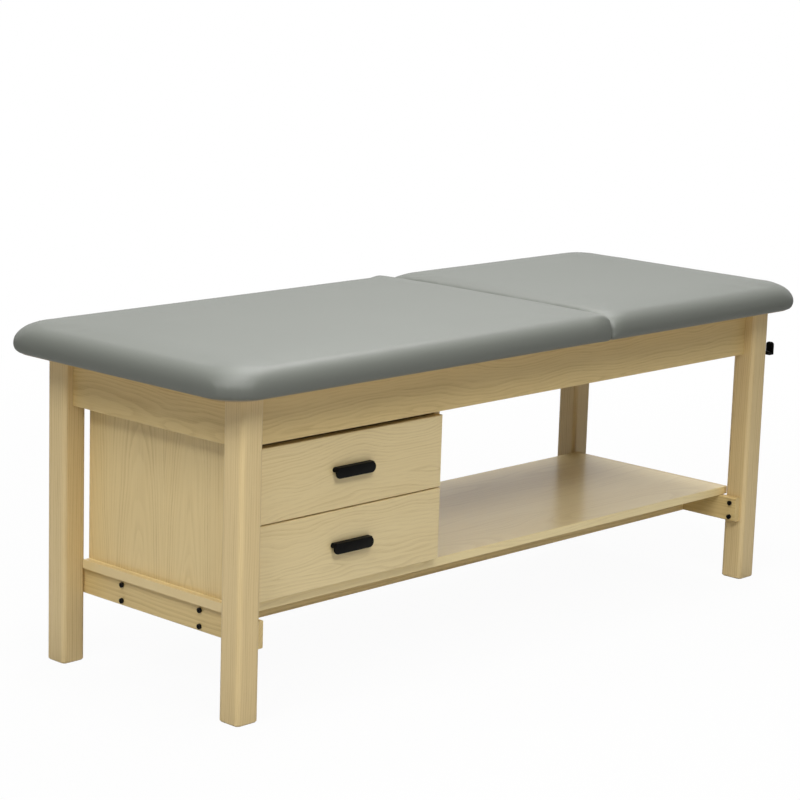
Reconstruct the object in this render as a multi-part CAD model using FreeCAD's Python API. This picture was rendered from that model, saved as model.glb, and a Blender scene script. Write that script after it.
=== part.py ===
import FreeCAD, Part
import math
import os

# Spa bed with a drawer cabinet on its shelf: an oak leg frame, a padded top in two
# sections whose head section tilts on a ratchet, and two drawers. Millimetres, +Z up,
# -X foot end, -Y drawer side, origin on the floor under the middle of the top.

# Padded top
TOP_LENGTH = 1981.0
TOP_WIDTH = 761.0
TOP_THICKNESS = 67.0
HEAD_LENGTH = 783.5
SPLIT_GAP = 6.0
FOOT_OVERHANG = 88.4
HEAD_OVERHANG = 68.4
SIDE_OVERHANG = 64.0
CORNER_RADIUS = 84.0
SPLIT_CORNER_RADIUS = 26.0
PAD_BELLY = 12.0
WIDEST_LIFT = 22.0
ROUND_WIDTH = 38.0
PAD_CROWN = 4.0
CROWN_WIDTH = 240.0
DECK_THICKNESS = 15.0
DECK_INSET = 17.0
PAD_CLEARANCE = 0.3
CROWN_SHARES = (0.5, 1.0)
BELLY_STEPS = 2
ROUND_STEPS = 4
CORNER_TAPER_SHARE = 0.3

# Leg frame
FRAME_HEIGHT = 705.7
LEG_SIZE = 61.3
LEG_EDGE = 11.0
LEG_FOOT_EDGE = 3.0
APRON_HEIGHT = 117.4
APRON_THICKNESS = 19.0
SIDE_APRON_RECESS = 29.4
END_APRON_RECESS = 23.0
BOARD_EDGE = 2.5
SPLIT_RAIL_WIDTH = 40.0
CROSS_RAIL_HEIGHT = 80.0
CROSS_RAIL_WIDTH = 19.0
DECK_RAIL_SHARE = 0.5
BLOCK_WIDTH = 26.0
BLOCK_HEIGHT = 40.0
JOINT_CLEARANCE = 0.3

# Shelf, stretchers and shelf rails
SHELF_TOP = 236.2
SHELF_THICKNESS = 20.4
SHELF_LEG_GAP = 3.2
SHELF_OVERHANG = 11.0
STRETCHER_THICKNESS = 19.0
STRETCHER_HEIGHT = 61.0
STRETCHER_END_INSET = 12.6
SHELF_RAIL_WIDTH = 19.0
SHELF_RAIL_SPACING = 256.0

# Cap-head bolts of the frame
BOLT_DIAMETER = 6.0
BOLT_LENGTH = 52.0
BOLT_HEAD_DIAMETER = 12.0
BOLT_HEAD_HEIGHT = 5.0
BOLT_SOCKET = 5.0
BOLT_SOCKET_DEPTH = 3.0
BOLT_CLEARANCE = 0.25
BOLT_EDGE_DISTANCE = 14.0
BOLT_PITCH = 36.3

# Hanger bolts of the corner blocks
HANGER_DIAMETER = 8.0
HANGER_DEPTH = 28.0
HANGER_NUT_WIDTH = 13.0
HANGER_NUT_HEIGHT = 6.5
HANGER_STICK_OUT = 4.0

# Cabinet on the shelf
CABINET_WIDTH = 594.0
CABINET_START = 68.1
CABINET_TUCK = 7.9
PANEL = 19.0
BACK_PANEL = 6.0
DOWEL_DIAMETER = 8.0
DOWEL_LENGTH = 30.0
DOWEL_INSET = 60.0
CABINET_SCREW_SHIFT = 20.0
CABINET_SCREW_INSET = 60.0

# Drawers
FRONT_WIDTH = 570.5
FRONT_TOP_GAP = 12.8
FRONT_THICKNESS = 19.0
FRONT_GAP = 3.0
FRONT_FLOOR_GAP = 6.3
FRONT_STAND_OFF = 1.6
FRONT_EDGE = 2.0
DRAWER_BACK_GAP = 41.6
DRAWER_SIDE = 12.0
DRAWER_SIDE_LIFT = 21.0
DRAWER_SIDE_DROP = 20.0
DRAWER_BOTTOM = 6.0
DRAWER_BOTTOM_LIFT = 12.0
GROOVE_DEPTH = 6.0
GROOVE_CLEARANCE = 0.2
RUNNER_SPACE = 12.7
RUNNER_END_GAP = 4.4
RUNNER_HEIGHT = 45.0
RUNNER_DEPTH = 10.0
RUNNER_WALL = 1.5
RUNNER_CLEARANCE = 0.4
RUNNER_START = 2.0

# Pulls
PULL_LENGTH = 120.0
PULL_HEIGHT = 24.5
PULL_PLATE = 5.0
PULL_REACH = 15.0
PULL_NECK_HEIGHT = 11.0
PULL_EDGE = 1.2
PULL_SCREW_SPACING = 64.0
PULL_SCREW_DIAMETER = 4.0
PULL_SCREW_BITE = 8.0
PULL_SCREW_HEAD = 8.0
PULL_SCREW_HEAD_HEIGHT = 2.4

# Tall-leaf hinges in the split
HINGE_DEPTH = 12.0
HINGE_SPREAD = 230.0
HINGE_WIDTH = 60.0
KNUCKLE_RADIUS = 4.0
HINGE_PIN_RADIUS = 2.0
PIN_CLEARANCE = 0.05
LEAF_THICKNESS = 1.6
LEAF_MIDDLE_GAP = 1.0
LEAF_FOOT = 38.0
LEAF_SCREW_INSET = 11.0
KNUCKLE_GAP = 0.4
KNUCKLE_CLEARANCE = 2.0
HINGE_POCKET_CLEARANCE = 1.0

# Small wood screws of the hinges and the quadrant, long screws of the foot deck
SCREW_DIAMETER = 3.5
SCREW_HEAD_DIAMETER = 7.0
SCREW_HEAD_HEIGHT = 1.8
SCREW_BITE = 9.0
LONG_SCREW_DIAMETER = 5.0
LONG_SCREW_HEAD_DIAMETER = 9.0
LONG_SCREW_HEAD_HEIGHT = 3.0
LONG_SCREW_BITE = 10.0
SCREW_CLEARANCE = 0.2
HEAD_CLEARANCE = 1.0
SPLIT_SCREW_SPREAD = 170.0
SCREW_SIDES = 8
BOLT_SIDES = 10
HEXAGON_SIDES = 6

# Ratchet quadrant under the head deck and its pawl
TILT_LIMIT_DEGREES = 60.0
TILT_STEP_DEGREES = 7.5
QUADRANT_RADIUS = 240.0
QUADRANT_RIM = 25.0
QUADRANT_THICKNESS = 6.0
NOTCH_DEPTH = 9.0
NOTCH_FLOOR = 5.0
NOTCH_RAMP_DEGREES = 4.2
NOTCH_UNDERCUT_DEGREES = 12.0
QUADRANT_TAIL_DEGREES = 4.0
STRUT_WIDTH = 24.0
STRUT_DEGREES = -70.0
FLANGE_THICKNESS = 3.0
FLANGE_WIDTH = 50.0
FLANGE_START = 43.0
FLANGE_END = 232.0
FLANGE_SCREW_INSET = 18.0
PAWL_DEGREES = -45.0
PAWL_PIVOT_DEGREES = -30.0
PAWL_PIVOT_LIFT = 22.0
PAWL_RUN_CLEARANCE = 1.0
PAWL_THICKNESS = 8.0
PAWL_BOSS_RADIUS = 9.0
PAWL_TOOTH = 10.0
PAWL_TIP = 4.0
PAWL_ARM_WIDTH = 17.0
PAWL_PIN_RADIUS = 4.0
PIN_STICK_OUT = 1.0
CRANK_LENGTH = 30.0
CRANK_END_RADIUS = 7.0
STUD_RADIUS = 3.0
STUD_HEAD = 1.5
STUD_HEAD_RADIUS = 5.0
OPEN_PIVOT_CLEARANCE = 0.3
CHEEK_THICKNESS = 3.0
CHEEK_CLEARANCE = 0.5
BRACKET_BASE = 3.0
BRACKET_WIDTH = 50.0
BRACKET_HEIGHT = 56.0
BRACKET_DROP_SHARE = 0.25
BRACKET_SCREW_INSET = 8.0
PAWL_RAIL_STAND_OFF = 20.0
PAWL_RAIL_HEIGHT = 99.7

# Release shaft with its upturned grip, and the pull rod
SHAFT_RADIUS = 5.0
SHAFT_STAND_OFF = 40.9
SHAFT_DROP = 2.3
SHAFT_END = 40.0
GRIP_WIDTH = 21.0
GRIP_RISE = 27.0
GRIP_THICKNESS = 5.0
GRIP_REACH = 17.5
GRIP_INSET = 5.0
GRIP_NECK = 10.0
ROD_RADIUS = 3.0
ROD_EYE = 4.0
ROD_EYE_RADIUS = 7.0
ROD_SIDE_GAP = 0.3
SHAFT_BRACKET_WIDTH = 16.0
SHAFT_BRACKET_BASE = 4.0
SHAFT_BRACKET_RISE = 44.0
SHAFT_BRACKET_EDGE = 9.0
SHAFT_BRACKET_INSET = 70.0
SPRING_WIRE = 1.2
SPRING_TURNS = 3
SPRING_PITCH = 1.8
SPRING_CLEARANCE = 0.4
SPRING_SPANS = 8
CUT_OVERRUN = 1.0
TINY = 1e-6

FRAME_LENGTH = TOP_LENGTH - FOOT_OVERHANG - HEAD_OVERHANG
FRAME_WIDTH = TOP_WIDTH - 2 * SIDE_OVERHANG
FRAME_X = (FOOT_OVERHANG - HEAD_OVERHANG) / 2
X_FOOT = FRAME_X - FRAME_LENGTH / 2
X_HEAD = FRAME_X + FRAME_LENGTH / 2
Y_SIDE = FRAME_WIDTH / 2
X_LEG_FOOT = X_FOOT + LEG_SIZE
X_LEG_HEAD = X_HEAD - LEG_SIZE
Y_LEG = Y_SIDE - LEG_SIZE
Y_APRON = Y_SIDE - SIDE_APRON_RECESS
Y_APRON_IN = Y_APRON - APRON_THICKNESS
X_APRON_FOOT = X_FOOT + END_APRON_RECESS
X_APRON_HEAD = X_HEAD - END_APRON_RECESS
Z_APRON = FRAME_HEIGHT - APRON_HEIGHT
Z_TOP = FRAME_HEIGHT + TOP_THICKNESS
Z_DECK = FRAME_HEIGHT + DECK_THICKNESS
X_SPLIT = TOP_LENGTH / 2 - HEAD_LENGTH
Z_HINGE = Z_TOP - HINGE_DEPTH
SPLIT_EDGE_RADIUS = HINGE_DEPTH + PAD_CROWN
Z_SHELF = SHELF_TOP - SHELF_THICKNESS
Y_SHELF = Y_LEG - SHELF_LEG_GAP
X_CABINET = X_FOOT + CABINET_START
X_CABINET_END = X_CABINET + CABINET_WIDTH
Z_CABINET = Z_APRON + CABINET_TUCK
X_SHAFT = X_APRON_HEAD + SHAFT_STAND_OFF
Z_SHAFT = Z_APRON - SHAFT_DROP

FOOT_SIDE = -1
HEAD_SIDE = 1


def vector(x, y, z):
    return FreeCAD.Vector(x, y, z)


def block(x0, x1, y0, y1, z0, z1):
    return Part.makeBox(x1 - x0, y1 - y0, z1 - z0, vector(x0, y0, z0))


def rod_along(axis, start, length, radius):
    return Part.makeCylinder(radius, length, start, axis)


def bored(axis, start, length, radius):
    """A plain hole's cutter, clear of the radius all round."""
    return faceted(start, axis, radius / math.cos(math.pi / SCREW_SIDES), SCREW_SIDES, length)


X_AXIS = vector(1, 0, 0)
Y_AXIS = vector(0, 1, 0)
Z_AXIS = vector(0, 0, 1)


def edges_along(shape, axis):
    """Straight edges of a shape that run along an axis."""
    picked = []
    for edge in shape.Edges:
        run = edge.Vertexes[-1].Point - edge.Vertexes[0].Point
        if run.Length and abs(abs(run.normalize().dot(axis)) - 1) < TINY:
            picked.append(edge)
    return picked


def softened(shape, radius, axis, keep=None):
    """A board with its long edges eased; keep picks them by their middle point."""
    picked = edges_along(shape, axis)
    if keep:
        picked = [edge for edge in picked if keep(edge.CenterOfMass)]
    return shape.makeFillet(radius, picked)


def prism_xz(points, y0, y1):
    """A plate whose outline lies in the XZ plane."""
    outline = [vector(x, y0, z) for x, z in points]
    face = Part.Face(Part.makePolygon(outline + outline[:1]))
    return face.extrude(vector(0, y1 - y0, 0))


def prism_xy(points, z0, z1):
    """A block whose outline lies in the XY plane."""
    outline = [vector(x, y, z0) for x, y in points]
    face = Part.Face(Part.makePolygon(outline + outline[:1]))
    return face.extrude(vector(0, 0, z1 - z0))


def slot_xz(x0, z0, x1, z1, radius, y0, y1):
    """A bar with round ends between two points of the XZ plane."""
    run = vector(x1 - x0, 0, z1 - z0)
    side = vector(-run.z, 0, run.x).normalize() * radius
    start = vector(x0, y0, z0)
    end = vector(x1, y0, z1)
    along = vector(run.x, run.y, run.z).normalize() * radius
    edges = [Part.LineSegment(start + side, end + side).toShape(),
             Part.Arc(end + side, end + along, end - side).toShape(),
             Part.LineSegment(end - side, start - side).toShape(),
             Part.Arc(start - side, start - along, start + side).toShape()]
    return Part.Face(Part.Wire(edges)).extrude(vector(0, y1 - y0, 0))


def rounded_outline(x0, x1, half_width, z, foot_radius, head_radius):
    """A level rectangle with its own corner radius at each end."""
    edges = []
    corners = ((x1, half_width, head_radius, 1, 1), (x0, half_width, foot_radius, -1, 1),
               (x0, -half_width, foot_radius, -1, -1), (x1, -half_width, head_radius, 1, -1))
    ends = []
    for x, y, radius, sx, sy in corners:
        centre = vector(x - sx * radius, y - sy * radius, z)
        on_end = centre + vector(sx * radius, 0, 0)
        on_side = centre + vector(0, sy * radius, 0)
        middle = centre + vector(sx, sy, 0).normalize() * radius
        first, last = (on_end, on_side) if sx * sy > 0 else (on_side, on_end)
        ends.append((first, middle, last))
    for index, (first, middle, last) in enumerate(ends):
        edges.append(Part.Arc(first, middle, last).toShape())
        following = ends[(index + 1) % len(ends)][0]
        edges.append(Part.LineSegment(last, following).toShape())
    return Part.Wire(edges)


def bolt_with_socket(at, axis, length):
    """A cap-head bolt whose head sits on the point and whose shank runs along the axis."""
    shank = faceted(at, axis, BOLT_DIAMETER / 2, SCREW_SIDES, length)
    head = faceted(at, axis * -1, BOLT_HEAD_DIAMETER / 2, BOLT_SIDES, BOLT_HEAD_HEIGHT)
    socket = hexagon(at - axis * BOLT_HEAD_HEIGHT, axis, BOLT_SOCKET, BOLT_SOCKET_DEPTH)
    return shank.fuse(head).removeSplitter().cut(socket)


def faceted(at, axis, radius, sides, height):
    """A regular prism along an axis."""
    upright = abs(axis.z) > max(abs(axis.x), abs(axis.y))
    across = axis.cross(X_AXIS if upright else Z_AXIS).normalize()
    other = axis.cross(across)
    points = []
    for index in range(sides):
        angle = 2 * math.pi * index / sides
        points.append(at + across * radius * math.cos(angle) + other * radius * math.sin(angle))
    face = Part.Face(Part.makePolygon(points + points[:1]))
    return face.extrude(axis * height)


def hexagon(at, axis, across_flats, height):
    return faceted(at, axis, across_flats / math.sqrt(3), HEXAGON_SIDES, height)


def wood_screw(at, axis, bite, diameter, head_diameter, head_height):
    """A screw whose head sits on the point and whose shank runs along the axis."""
    shank = faceted(at, axis, diameter / 2, SCREW_SIDES, bite)
    head = faceted(at, axis * -1, head_diameter / 2, SCREW_SIDES, head_height)
    return shank.fuse(head).removeSplitter()


def solid_group(solids):
    return Part.makeCompound([piece for shape in solids for piece in shape.Solids])


# Places shared by the fasteners and the holes for them

BOLT_HEIGHTS = (Z_SHELF - BOLT_EDGE_DISTANCE, Z_SHELF - BOLT_EDGE_DISTANCE - BOLT_PITCH)


def frame_bolt_places():
    """Head seats and directions of the bolts through the two stretchers."""
    places = []
    for end in (FOOT_SIDE, HEAD_SIDE):
        leg_face = X_LEG_FOOT if end == FOOT_SIDE else X_LEG_HEAD
        for z in BOLT_HEIGHTS:
            for side in (-1, 1):
                inner = leg_face - end * STRETCHER_THICKNESS
                leg_middle = side * (Y_SIDE - LEG_SIZE / 2)
                places.append((vector(inner, leg_middle, z), X_AXIS * end))
                rail_middle = side * SHELF_RAIL_SPACING / 2
                places.append((vector(leg_face, rail_middle, z), X_AXIS * -end))
    return places


def with_bolt_holes(shape):
    """A wooden piece bored for each frame bolt that passes into it."""
    for at, axis in frame_bolt_places():
        start = at - axis * CUT_OVERRUN
        hole = bored(axis, start, BOLT_LENGTH + 2 * CUT_OVERRUN, BOLT_DIAMETER / 2 + BOLT_CLEARANCE)
        if shape.BoundBox.intersect(hole.BoundBox):
            shape = shape.cut(hole)
    return shape


def frame_bolts():
    return solid_group([bolt_with_socket(at, axis, BOLT_LENGTH) for at, axis in frame_bolt_places()])


# Leg frame

def corner_signs():
    return [(end, side) for end in (FOOT_SIDE, HEAD_SIDE) for side in (-1, 1)]


def leg(end, side):
    x0 = X_FOOT if end == FOOT_SIDE else X_LEG_HEAD
    y0 = -Y_SIDE if side < 0 else Y_LEG
    post = block(x0, x0 + LEG_SIZE, y0, y0 + LEG_SIZE, 0, FRAME_HEIGHT)
    post = softened(post, LEG_EDGE, Z_AXIS)
    foot_edges = [edge for edge in post.Edges if edge.BoundBox.ZMax < LEG_FOOT_EDGE]
    post = post.makeChamfer(LEG_FOOT_EDGE, foot_edges)
    return with_bolt_holes(post.cut(hanger_hole(end, side)))


def corner_line(end, side):
    """Point on the leg's rounded inner corner and the level direction out of it."""
    x = X_LEG_FOOT if end == FOOT_SIDE else X_LEG_HEAD
    y = side * Y_LEG
    inward = vector(-end, -side, 0).normalize()
    sharp = vector(x, y, FRAME_HEIGHT - BLOCK_HEIGHT / 2)
    return sharp - inward * LEG_EDGE * (math.sqrt(2) - 1), inward


def corner_block(end, side):
    """A diagonal block between two aprons, drawn to the leg's corner by a hanger bolt."""
    corner, inward = corner_line(end, side)
    x_apron = (X_APRON_FOOT + APRON_THICKNESS) if end == FOOT_SIDE else (X_APRON_HEAD - APRON_THICKNESS)
    y_apron = side * Y_APRON_IN
    points = []
    for distance in (JOINT_CLEARANCE, JOINT_CLEARANCE + BLOCK_WIDTH):
        foot = corner + inward * distance
        level = foot.x * -end + foot.y * -side
        on_end_apron = (x_apron, (level - x_apron * -end) / -side)
        on_side_apron = ((level - y_apron * -side) / -end, y_apron)
        pair = (on_end_apron, on_side_apron)
        points += pair if distance == JOINT_CLEARANCE else pair[::-1]
    shape = prism_xy(points, FRAME_HEIGHT - BLOCK_HEIGHT, FRAME_HEIGHT)
    shape = shape.cut(hanger_hole(end, side))
    if end == FOOT_SIDE:
        shape = shape.cut(long_screw_hole(block_screw_place(side)))
    return shape


def hanger_hole(end, side):
    corner, inward = corner_line(end, side)
    length = HANGER_DEPTH + BLOCK_WIDTH + 2 * CUT_OVERRUN
    radius = HANGER_DIAMETER / 2 + BOLT_CLEARANCE
    return bored(inward, corner - inward * (HANGER_DEPTH + CUT_OVERRUN), length, radius)


def hanger_bolt(end, side):
    """A stud in the leg's corner with its nut on the inner face of the block."""
    corner, inward = corner_line(end, side)
    nut_seat = corner + inward * (JOINT_CLEARANCE + BLOCK_WIDTH)
    length = HANGER_DEPTH + JOINT_CLEARANCE + BLOCK_WIDTH + HANGER_NUT_HEIGHT + HANGER_STICK_OUT
    stud = faceted(corner - inward * HANGER_DEPTH, inward, HANGER_DIAMETER / 2, SCREW_SIDES, length)
    nut = hexagon(nut_seat, inward, HANGER_NUT_WIDTH, HANGER_NUT_HEIGHT)
    return stud.fuse(nut).removeSplitter()


def block_screw_place(side):
    corner, inward = corner_line(FOOT_SIDE, side)
    across = vector(-inward.y, inward.x, 0)
    middle = corner + inward * (JOINT_CLEARANCE + BLOCK_WIDTH / 2)
    beside = middle + across * side * (HANGER_DIAMETER + LONG_SCREW_HEAD_DIAMETER)
    return vector(beside.x, beside.y, FRAME_HEIGHT - BLOCK_HEIGHT)


def long_screw_places():
    """Seats of the foot deck's screws: two corner blocks and the rail under the split."""
    places = [block_screw_place(side) for side in (-1, 1)]
    x = X_SPLIT - SPLIT_RAIL_WIDTH / 4
    for side in (-1, 1):
        places.append(vector(x, side * SPLIT_SCREW_SPREAD, FRAME_HEIGHT - BLOCK_HEIGHT))
    return places


def long_screw_hole(at):
    return bored(Z_AXIS, at - Z_AXIS * CUT_OVERRUN, BLOCK_HEIGHT + LONG_SCREW_BITE + 2 * CUT_OVERRUN,
                 LONG_SCREW_DIAMETER / 2 + SCREW_CLEARANCE)


def foot_deck_screws():
    return solid_group([wood_screw(at, Z_AXIS, BLOCK_HEIGHT + LONG_SCREW_BITE, LONG_SCREW_DIAMETER,
                                   LONG_SCREW_HEAD_DIAMETER, LONG_SCREW_HEAD_HEIGHT)
                        for at in long_screw_places()])


def side_apron(side):
    y = side * Y_APRON
    y0, y1 = (y, y + APRON_THICKNESS) if side < 0 else (y - APRON_THICKNESS, y)
    board = block(X_LEG_FOOT, X_LEG_HEAD, y0, y1, Z_APRON, FRAME_HEIGHT)
    return softened(board, BOARD_EDGE, X_AXIS, lambda middle: middle.z < Z_APRON + BOARD_EDGE)


def end_apron(end):
    x0 = X_APRON_FOOT if end == FOOT_SIDE else X_APRON_HEAD - APRON_THICKNESS
    board = block(x0, x0 + APRON_THICKNESS, -Y_LEG, Y_LEG, Z_APRON, FRAME_HEIGHT)
    board = softened(board, BOARD_EDGE, Y_AXIS, lambda middle: middle.z < Z_APRON + BOARD_EDGE)
    return with_bracket_screw_holes(board)


def split_rail():
    x0 = X_SPLIT - SPLIT_RAIL_WIDTH / 2
    rail = block(x0, x0 + SPLIT_RAIL_WIDTH, -Y_APRON_IN, Y_APRON_IN,
                 FRAME_HEIGHT - CROSS_RAIL_HEIGHT, FRAME_HEIGHT)
    for at in long_screw_places()[2:]:
        rail = rail.cut(long_screw_hole(at))
        counterbore = bored(Z_AXIS * -1, at, CROSS_RAIL_HEIGHT,
                            LONG_SCREW_HEAD_DIAMETER / 2 + HEAD_CLEARANCE)
        rail = rail.cut(counterbore)
    return rail


def deck_rail():
    middle = X_LEG_FOOT + (X_SPLIT - X_LEG_FOOT) * DECK_RAIL_SHARE
    return block(middle - CROSS_RAIL_WIDTH / 2, middle + CROSS_RAIL_WIDTH / 2, -Y_APRON_IN, Y_APRON_IN,
                 FRAME_HEIGHT - CROSS_RAIL_HEIGHT, FRAME_HEIGHT)


# Shelf and what carries it

def stretcher(end):
    x0 = X_LEG_FOOT if end == FOOT_SIDE else X_LEG_HEAD - STRETCHER_THICKNESS
    half = Y_SIDE - STRETCHER_END_INSET
    board = block(x0, x0 + STRETCHER_THICKNESS, -half, half, Z_SHELF - STRETCHER_HEIGHT, Z_SHELF)
    return with_bolt_holes(softened(board, BOARD_EDGE, Y_AXIS))


def shelf_rails():
    rails = []
    for side in (-1, 1):
        middle = side * SHELF_RAIL_SPACING / 2
        rail = block(X_LEG_FOOT + STRETCHER_THICKNESS, X_LEG_HEAD - STRETCHER_THICKNESS,
                     middle - SHELF_RAIL_WIDTH / 2, middle + SHELF_RAIL_WIDTH / 2,
                     Z_SHELF - STRETCHER_HEIGHT, Z_SHELF)
        rails.append(with_bolt_holes(rail))
    return solid_group(rails)


def shelf():
    board = block(X_LEG_FOOT - SHELF_OVERHANG, X_LEG_HEAD + SHELF_OVERHANG, -Y_SHELF, Y_SHELF,
                  Z_SHELF, SHELF_TOP)
    return with_bracket_screw_holes(softened(board, BOARD_EDGE, X_AXIS))


# Cabinet

def dowel_places():
    """Outer ends of the dowels that join the side panels to the top and bottom."""
    places = []
    for level in (SHELF_TOP + PANEL / 2, Z_CABINET - PANEL / 2):
        for y in (-Y_SHELF + DOWEL_INSET, Y_SHELF - DOWEL_INSET):
            places.append(vector(X_CABINET + PANEL - DOWEL_LENGTH / 2, y, level))
            places.append(vector(X_CABINET_END - PANEL - DOWEL_LENGTH / 2, y, level))
    return places


def with_dowel_holes(shape):
    for at in dowel_places():
        hole = bored(X_AXIS, at - X_AXIS * JOINT_CLEARANCE, DOWEL_LENGTH + 2 * JOINT_CLEARANCE,
                     DOWEL_DIAMETER / 2 + GROOVE_CLEARANCE)
        if shape.BoundBox.intersect(hole.BoundBox):
            shape = shape.cut(hole)
    return shape


def cabinet_dowels():
    return solid_group([faceted(at, X_AXIS, DOWEL_DIAMETER / 2, BOLT_SIDES, DOWEL_LENGTH)
                        for at in dowel_places()])


def cabinet_side(end):
    x0 = X_CABINET if end == FOOT_SIDE else X_CABINET_END - PANEL
    return with_dowel_holes(block(x0, x0 + PANEL, -Y_SHELF, Y_SHELF, SHELF_TOP, Z_CABINET))


def cabinet_level(z0):
    panel = block(X_CABINET + PANEL, X_CABINET_END - PANEL, -Y_SHELF, Y_SHELF - BACK_PANEL, z0, z0 + PANEL)
    return with_bracket_screw_holes(with_dowel_holes(panel))


def cabinet_back():
    return block(X_CABINET + PANEL, X_CABINET_END - PANEL, Y_SHELF - BACK_PANEL, Y_SHELF,
                 SHELF_TOP, Z_CABINET)


# Drawers; level 0 is the lower one

FRONT_HEIGHT = (Z_APRON - FRONT_TOP_GAP - SHELF_TOP - FRONT_FLOOR_GAP - FRONT_GAP) / 2


def front_bottom(level):
    return SHELF_TOP + FRONT_FLOOR_GAP + level * (FRONT_HEIGHT + FRONT_GAP)


X_DRAWERS = (X_CABINET + X_CABINET_END) / 2
Y_FRONT_BACK = -Y_SHELF - FRONT_STAND_OFF
Y_FRONT = Y_FRONT_BACK - FRONT_THICKNESS
DRAWER_DEPTH = Y_SHELF - BACK_PANEL - DRAWER_BACK_GAP - Y_FRONT_BACK
DRAWER_SIDE_HEIGHT = FRONT_HEIGHT - DRAWER_SIDE_LIFT - DRAWER_SIDE_DROP
Y_RUNNER = RUNNER_START - Y_SHELF
RUNNER_LENGTH = Y_FRONT_BACK + DRAWER_DEPTH - RUNNER_END_GAP - Y_RUNNER
BOX_HALF = CABINET_WIDTH / 2 - PANEL - RUNNER_SPACE


def pull_middle(level):
    return front_bottom(level) + FRONT_HEIGHT / 2


def pull_screw_places(level):
    """Head seats on the inner face of the front, level with the pull's neck."""
    z = pull_middle(level) + (PULL_HEIGHT - PULL_NECK_HEIGHT) / 2
    return [vector(X_DRAWERS + side * PULL_SCREW_SPACING / 2, Y_FRONT_BACK, z) for side in (-1, 1)]


def pull_screws(level):
    return solid_group([wood_screw(at, Y_AXIS * -1, FRONT_THICKNESS + PULL_SCREW_BITE, PULL_SCREW_DIAMETER,
                                   PULL_SCREW_HEAD, PULL_SCREW_HEAD_HEIGHT)
                        for at in pull_screw_places(level)])


def pull_screw_hole(at):
    return bored(Y_AXIS * -1, at + Y_AXIS * CUT_OVERRUN,
                 FRONT_THICKNESS + PULL_SCREW_BITE + CUT_OVERRUN + JOINT_CLEARANCE,
                 PULL_SCREW_DIAMETER / 2 + SCREW_CLEARANCE)


def drawer_groove(level):
    """The slot round the inside of a drawer that holds its bottom."""
    z = front_bottom(level) + DRAWER_SIDE_LIFT + DRAWER_BOTTOM_LIFT
    inner = BOX_HALF - DRAWER_SIDE + GROOVE_DEPTH
    y0 = Y_FRONT_BACK - GROOVE_DEPTH
    return block(X_DRAWERS - inner, X_DRAWERS + inner, y0, Y_FRONT_BACK + DRAWER_DEPTH + CUT_OVERRUN,
                 z - GROOVE_CLEARANCE, z + DRAWER_BOTTOM + GROOVE_CLEARANCE)


def drawer_front(level):
    z0 = front_bottom(level)
    panel = block(X_DRAWERS - FRONT_WIDTH / 2, X_DRAWERS + FRONT_WIDTH / 2, Y_FRONT, Y_FRONT_BACK,
                  z0, z0 + FRONT_HEIGHT)
    outer = [edge for edge in panel.Edges if edge.BoundBox.YMax < Y_FRONT + FRONT_EDGE]
    panel = panel.makeFillet(FRONT_EDGE, outer).cut(drawer_groove(level))
    for at in pull_screw_places(level):
        panel = panel.cut(pull_screw_hole(at))
    return panel


def drawer_side(level, end):
    x0 = X_DRAWERS - BOX_HALF if end == FOOT_SIDE else X_DRAWERS + BOX_HALF - DRAWER_SIDE
    z0 = front_bottom(level) + DRAWER_SIDE_LIFT
    panel = block(x0, x0 + DRAWER_SIDE, Y_FRONT_BACK, Y_FRONT_BACK + DRAWER_DEPTH,
                  z0, z0 + DRAWER_SIDE_HEIGHT)
    return panel.cut(drawer_groove(level))


def drawer_bottom(level):
    z0 = front_bottom(level) + DRAWER_SIDE_LIFT + DRAWER_BOTTOM_LIFT
    inner = BOX_HALF - DRAWER_SIDE + GROOVE_DEPTH - GROOVE_CLEARANCE
    return block(X_DRAWERS - inner, X_DRAWERS + inner, Y_FRONT_BACK - GROOVE_DEPTH + GROOVE_CLEARANCE,
                 Y_FRONT_BACK + DRAWER_DEPTH, z0, z0 + DRAWER_BOTTOM)


def drawer_back(level):
    """The back stands on the bottom panel, between the sides."""
    z0 = front_bottom(level) + DRAWER_SIDE_LIFT
    y1 = Y_FRONT_BACK + DRAWER_DEPTH
    inner = BOX_HALF - DRAWER_SIDE
    return block(X_DRAWERS - inner, X_DRAWERS + inner, y1 - DRAWER_SIDE, y1,
                 z0 + DRAWER_BOTTOM_LIFT + DRAWER_BOTTOM, z0 + DRAWER_SIDE_HEIGHT)


def channel(x_back, towards, half_height, depth, y0):
    """A runner of C section: its web at x_back, its flanges towards the other member."""
    x_far = x_back + towards * depth
    low, high = sorted((x_back, x_far))
    outer = block(low, high, y0, y0 + RUNNER_LENGTH, -half_height, half_height)
    low, high = sorted((x_back + towards * RUNNER_WALL, x_far + towards * CUT_OVERRUN))
    inner = block(low, high, y0 - CUT_OVERRUN, y0 + RUNNER_LENGTH + CUT_OVERRUN,
                  RUNNER_WALL - half_height, half_height - RUNNER_WALL)
    return outer.cut(inner)


def runner_middle(level):
    return front_bottom(level) + DRAWER_SIDE_LIFT + DRAWER_SIDE_HEIGHT / 2


def placed(shape, offset):
    moved = shape.copy()
    moved.translate(offset)
    return moved


def cabinet_runners():
    """Fixed members on the side panels."""
    pieces = []
    for level in (0, 1):
        for end in (FOOT_SIDE, HEAD_SIDE):
            x = X_DRAWERS + end * (CABINET_WIDTH / 2 - PANEL)
            member = channel(x, -end, RUNNER_HEIGHT / 2, RUNNER_DEPTH, Y_RUNNER)
            pieces.append(placed(member, vector(0, 0, runner_middle(level))))
    return solid_group(pieces)


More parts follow.
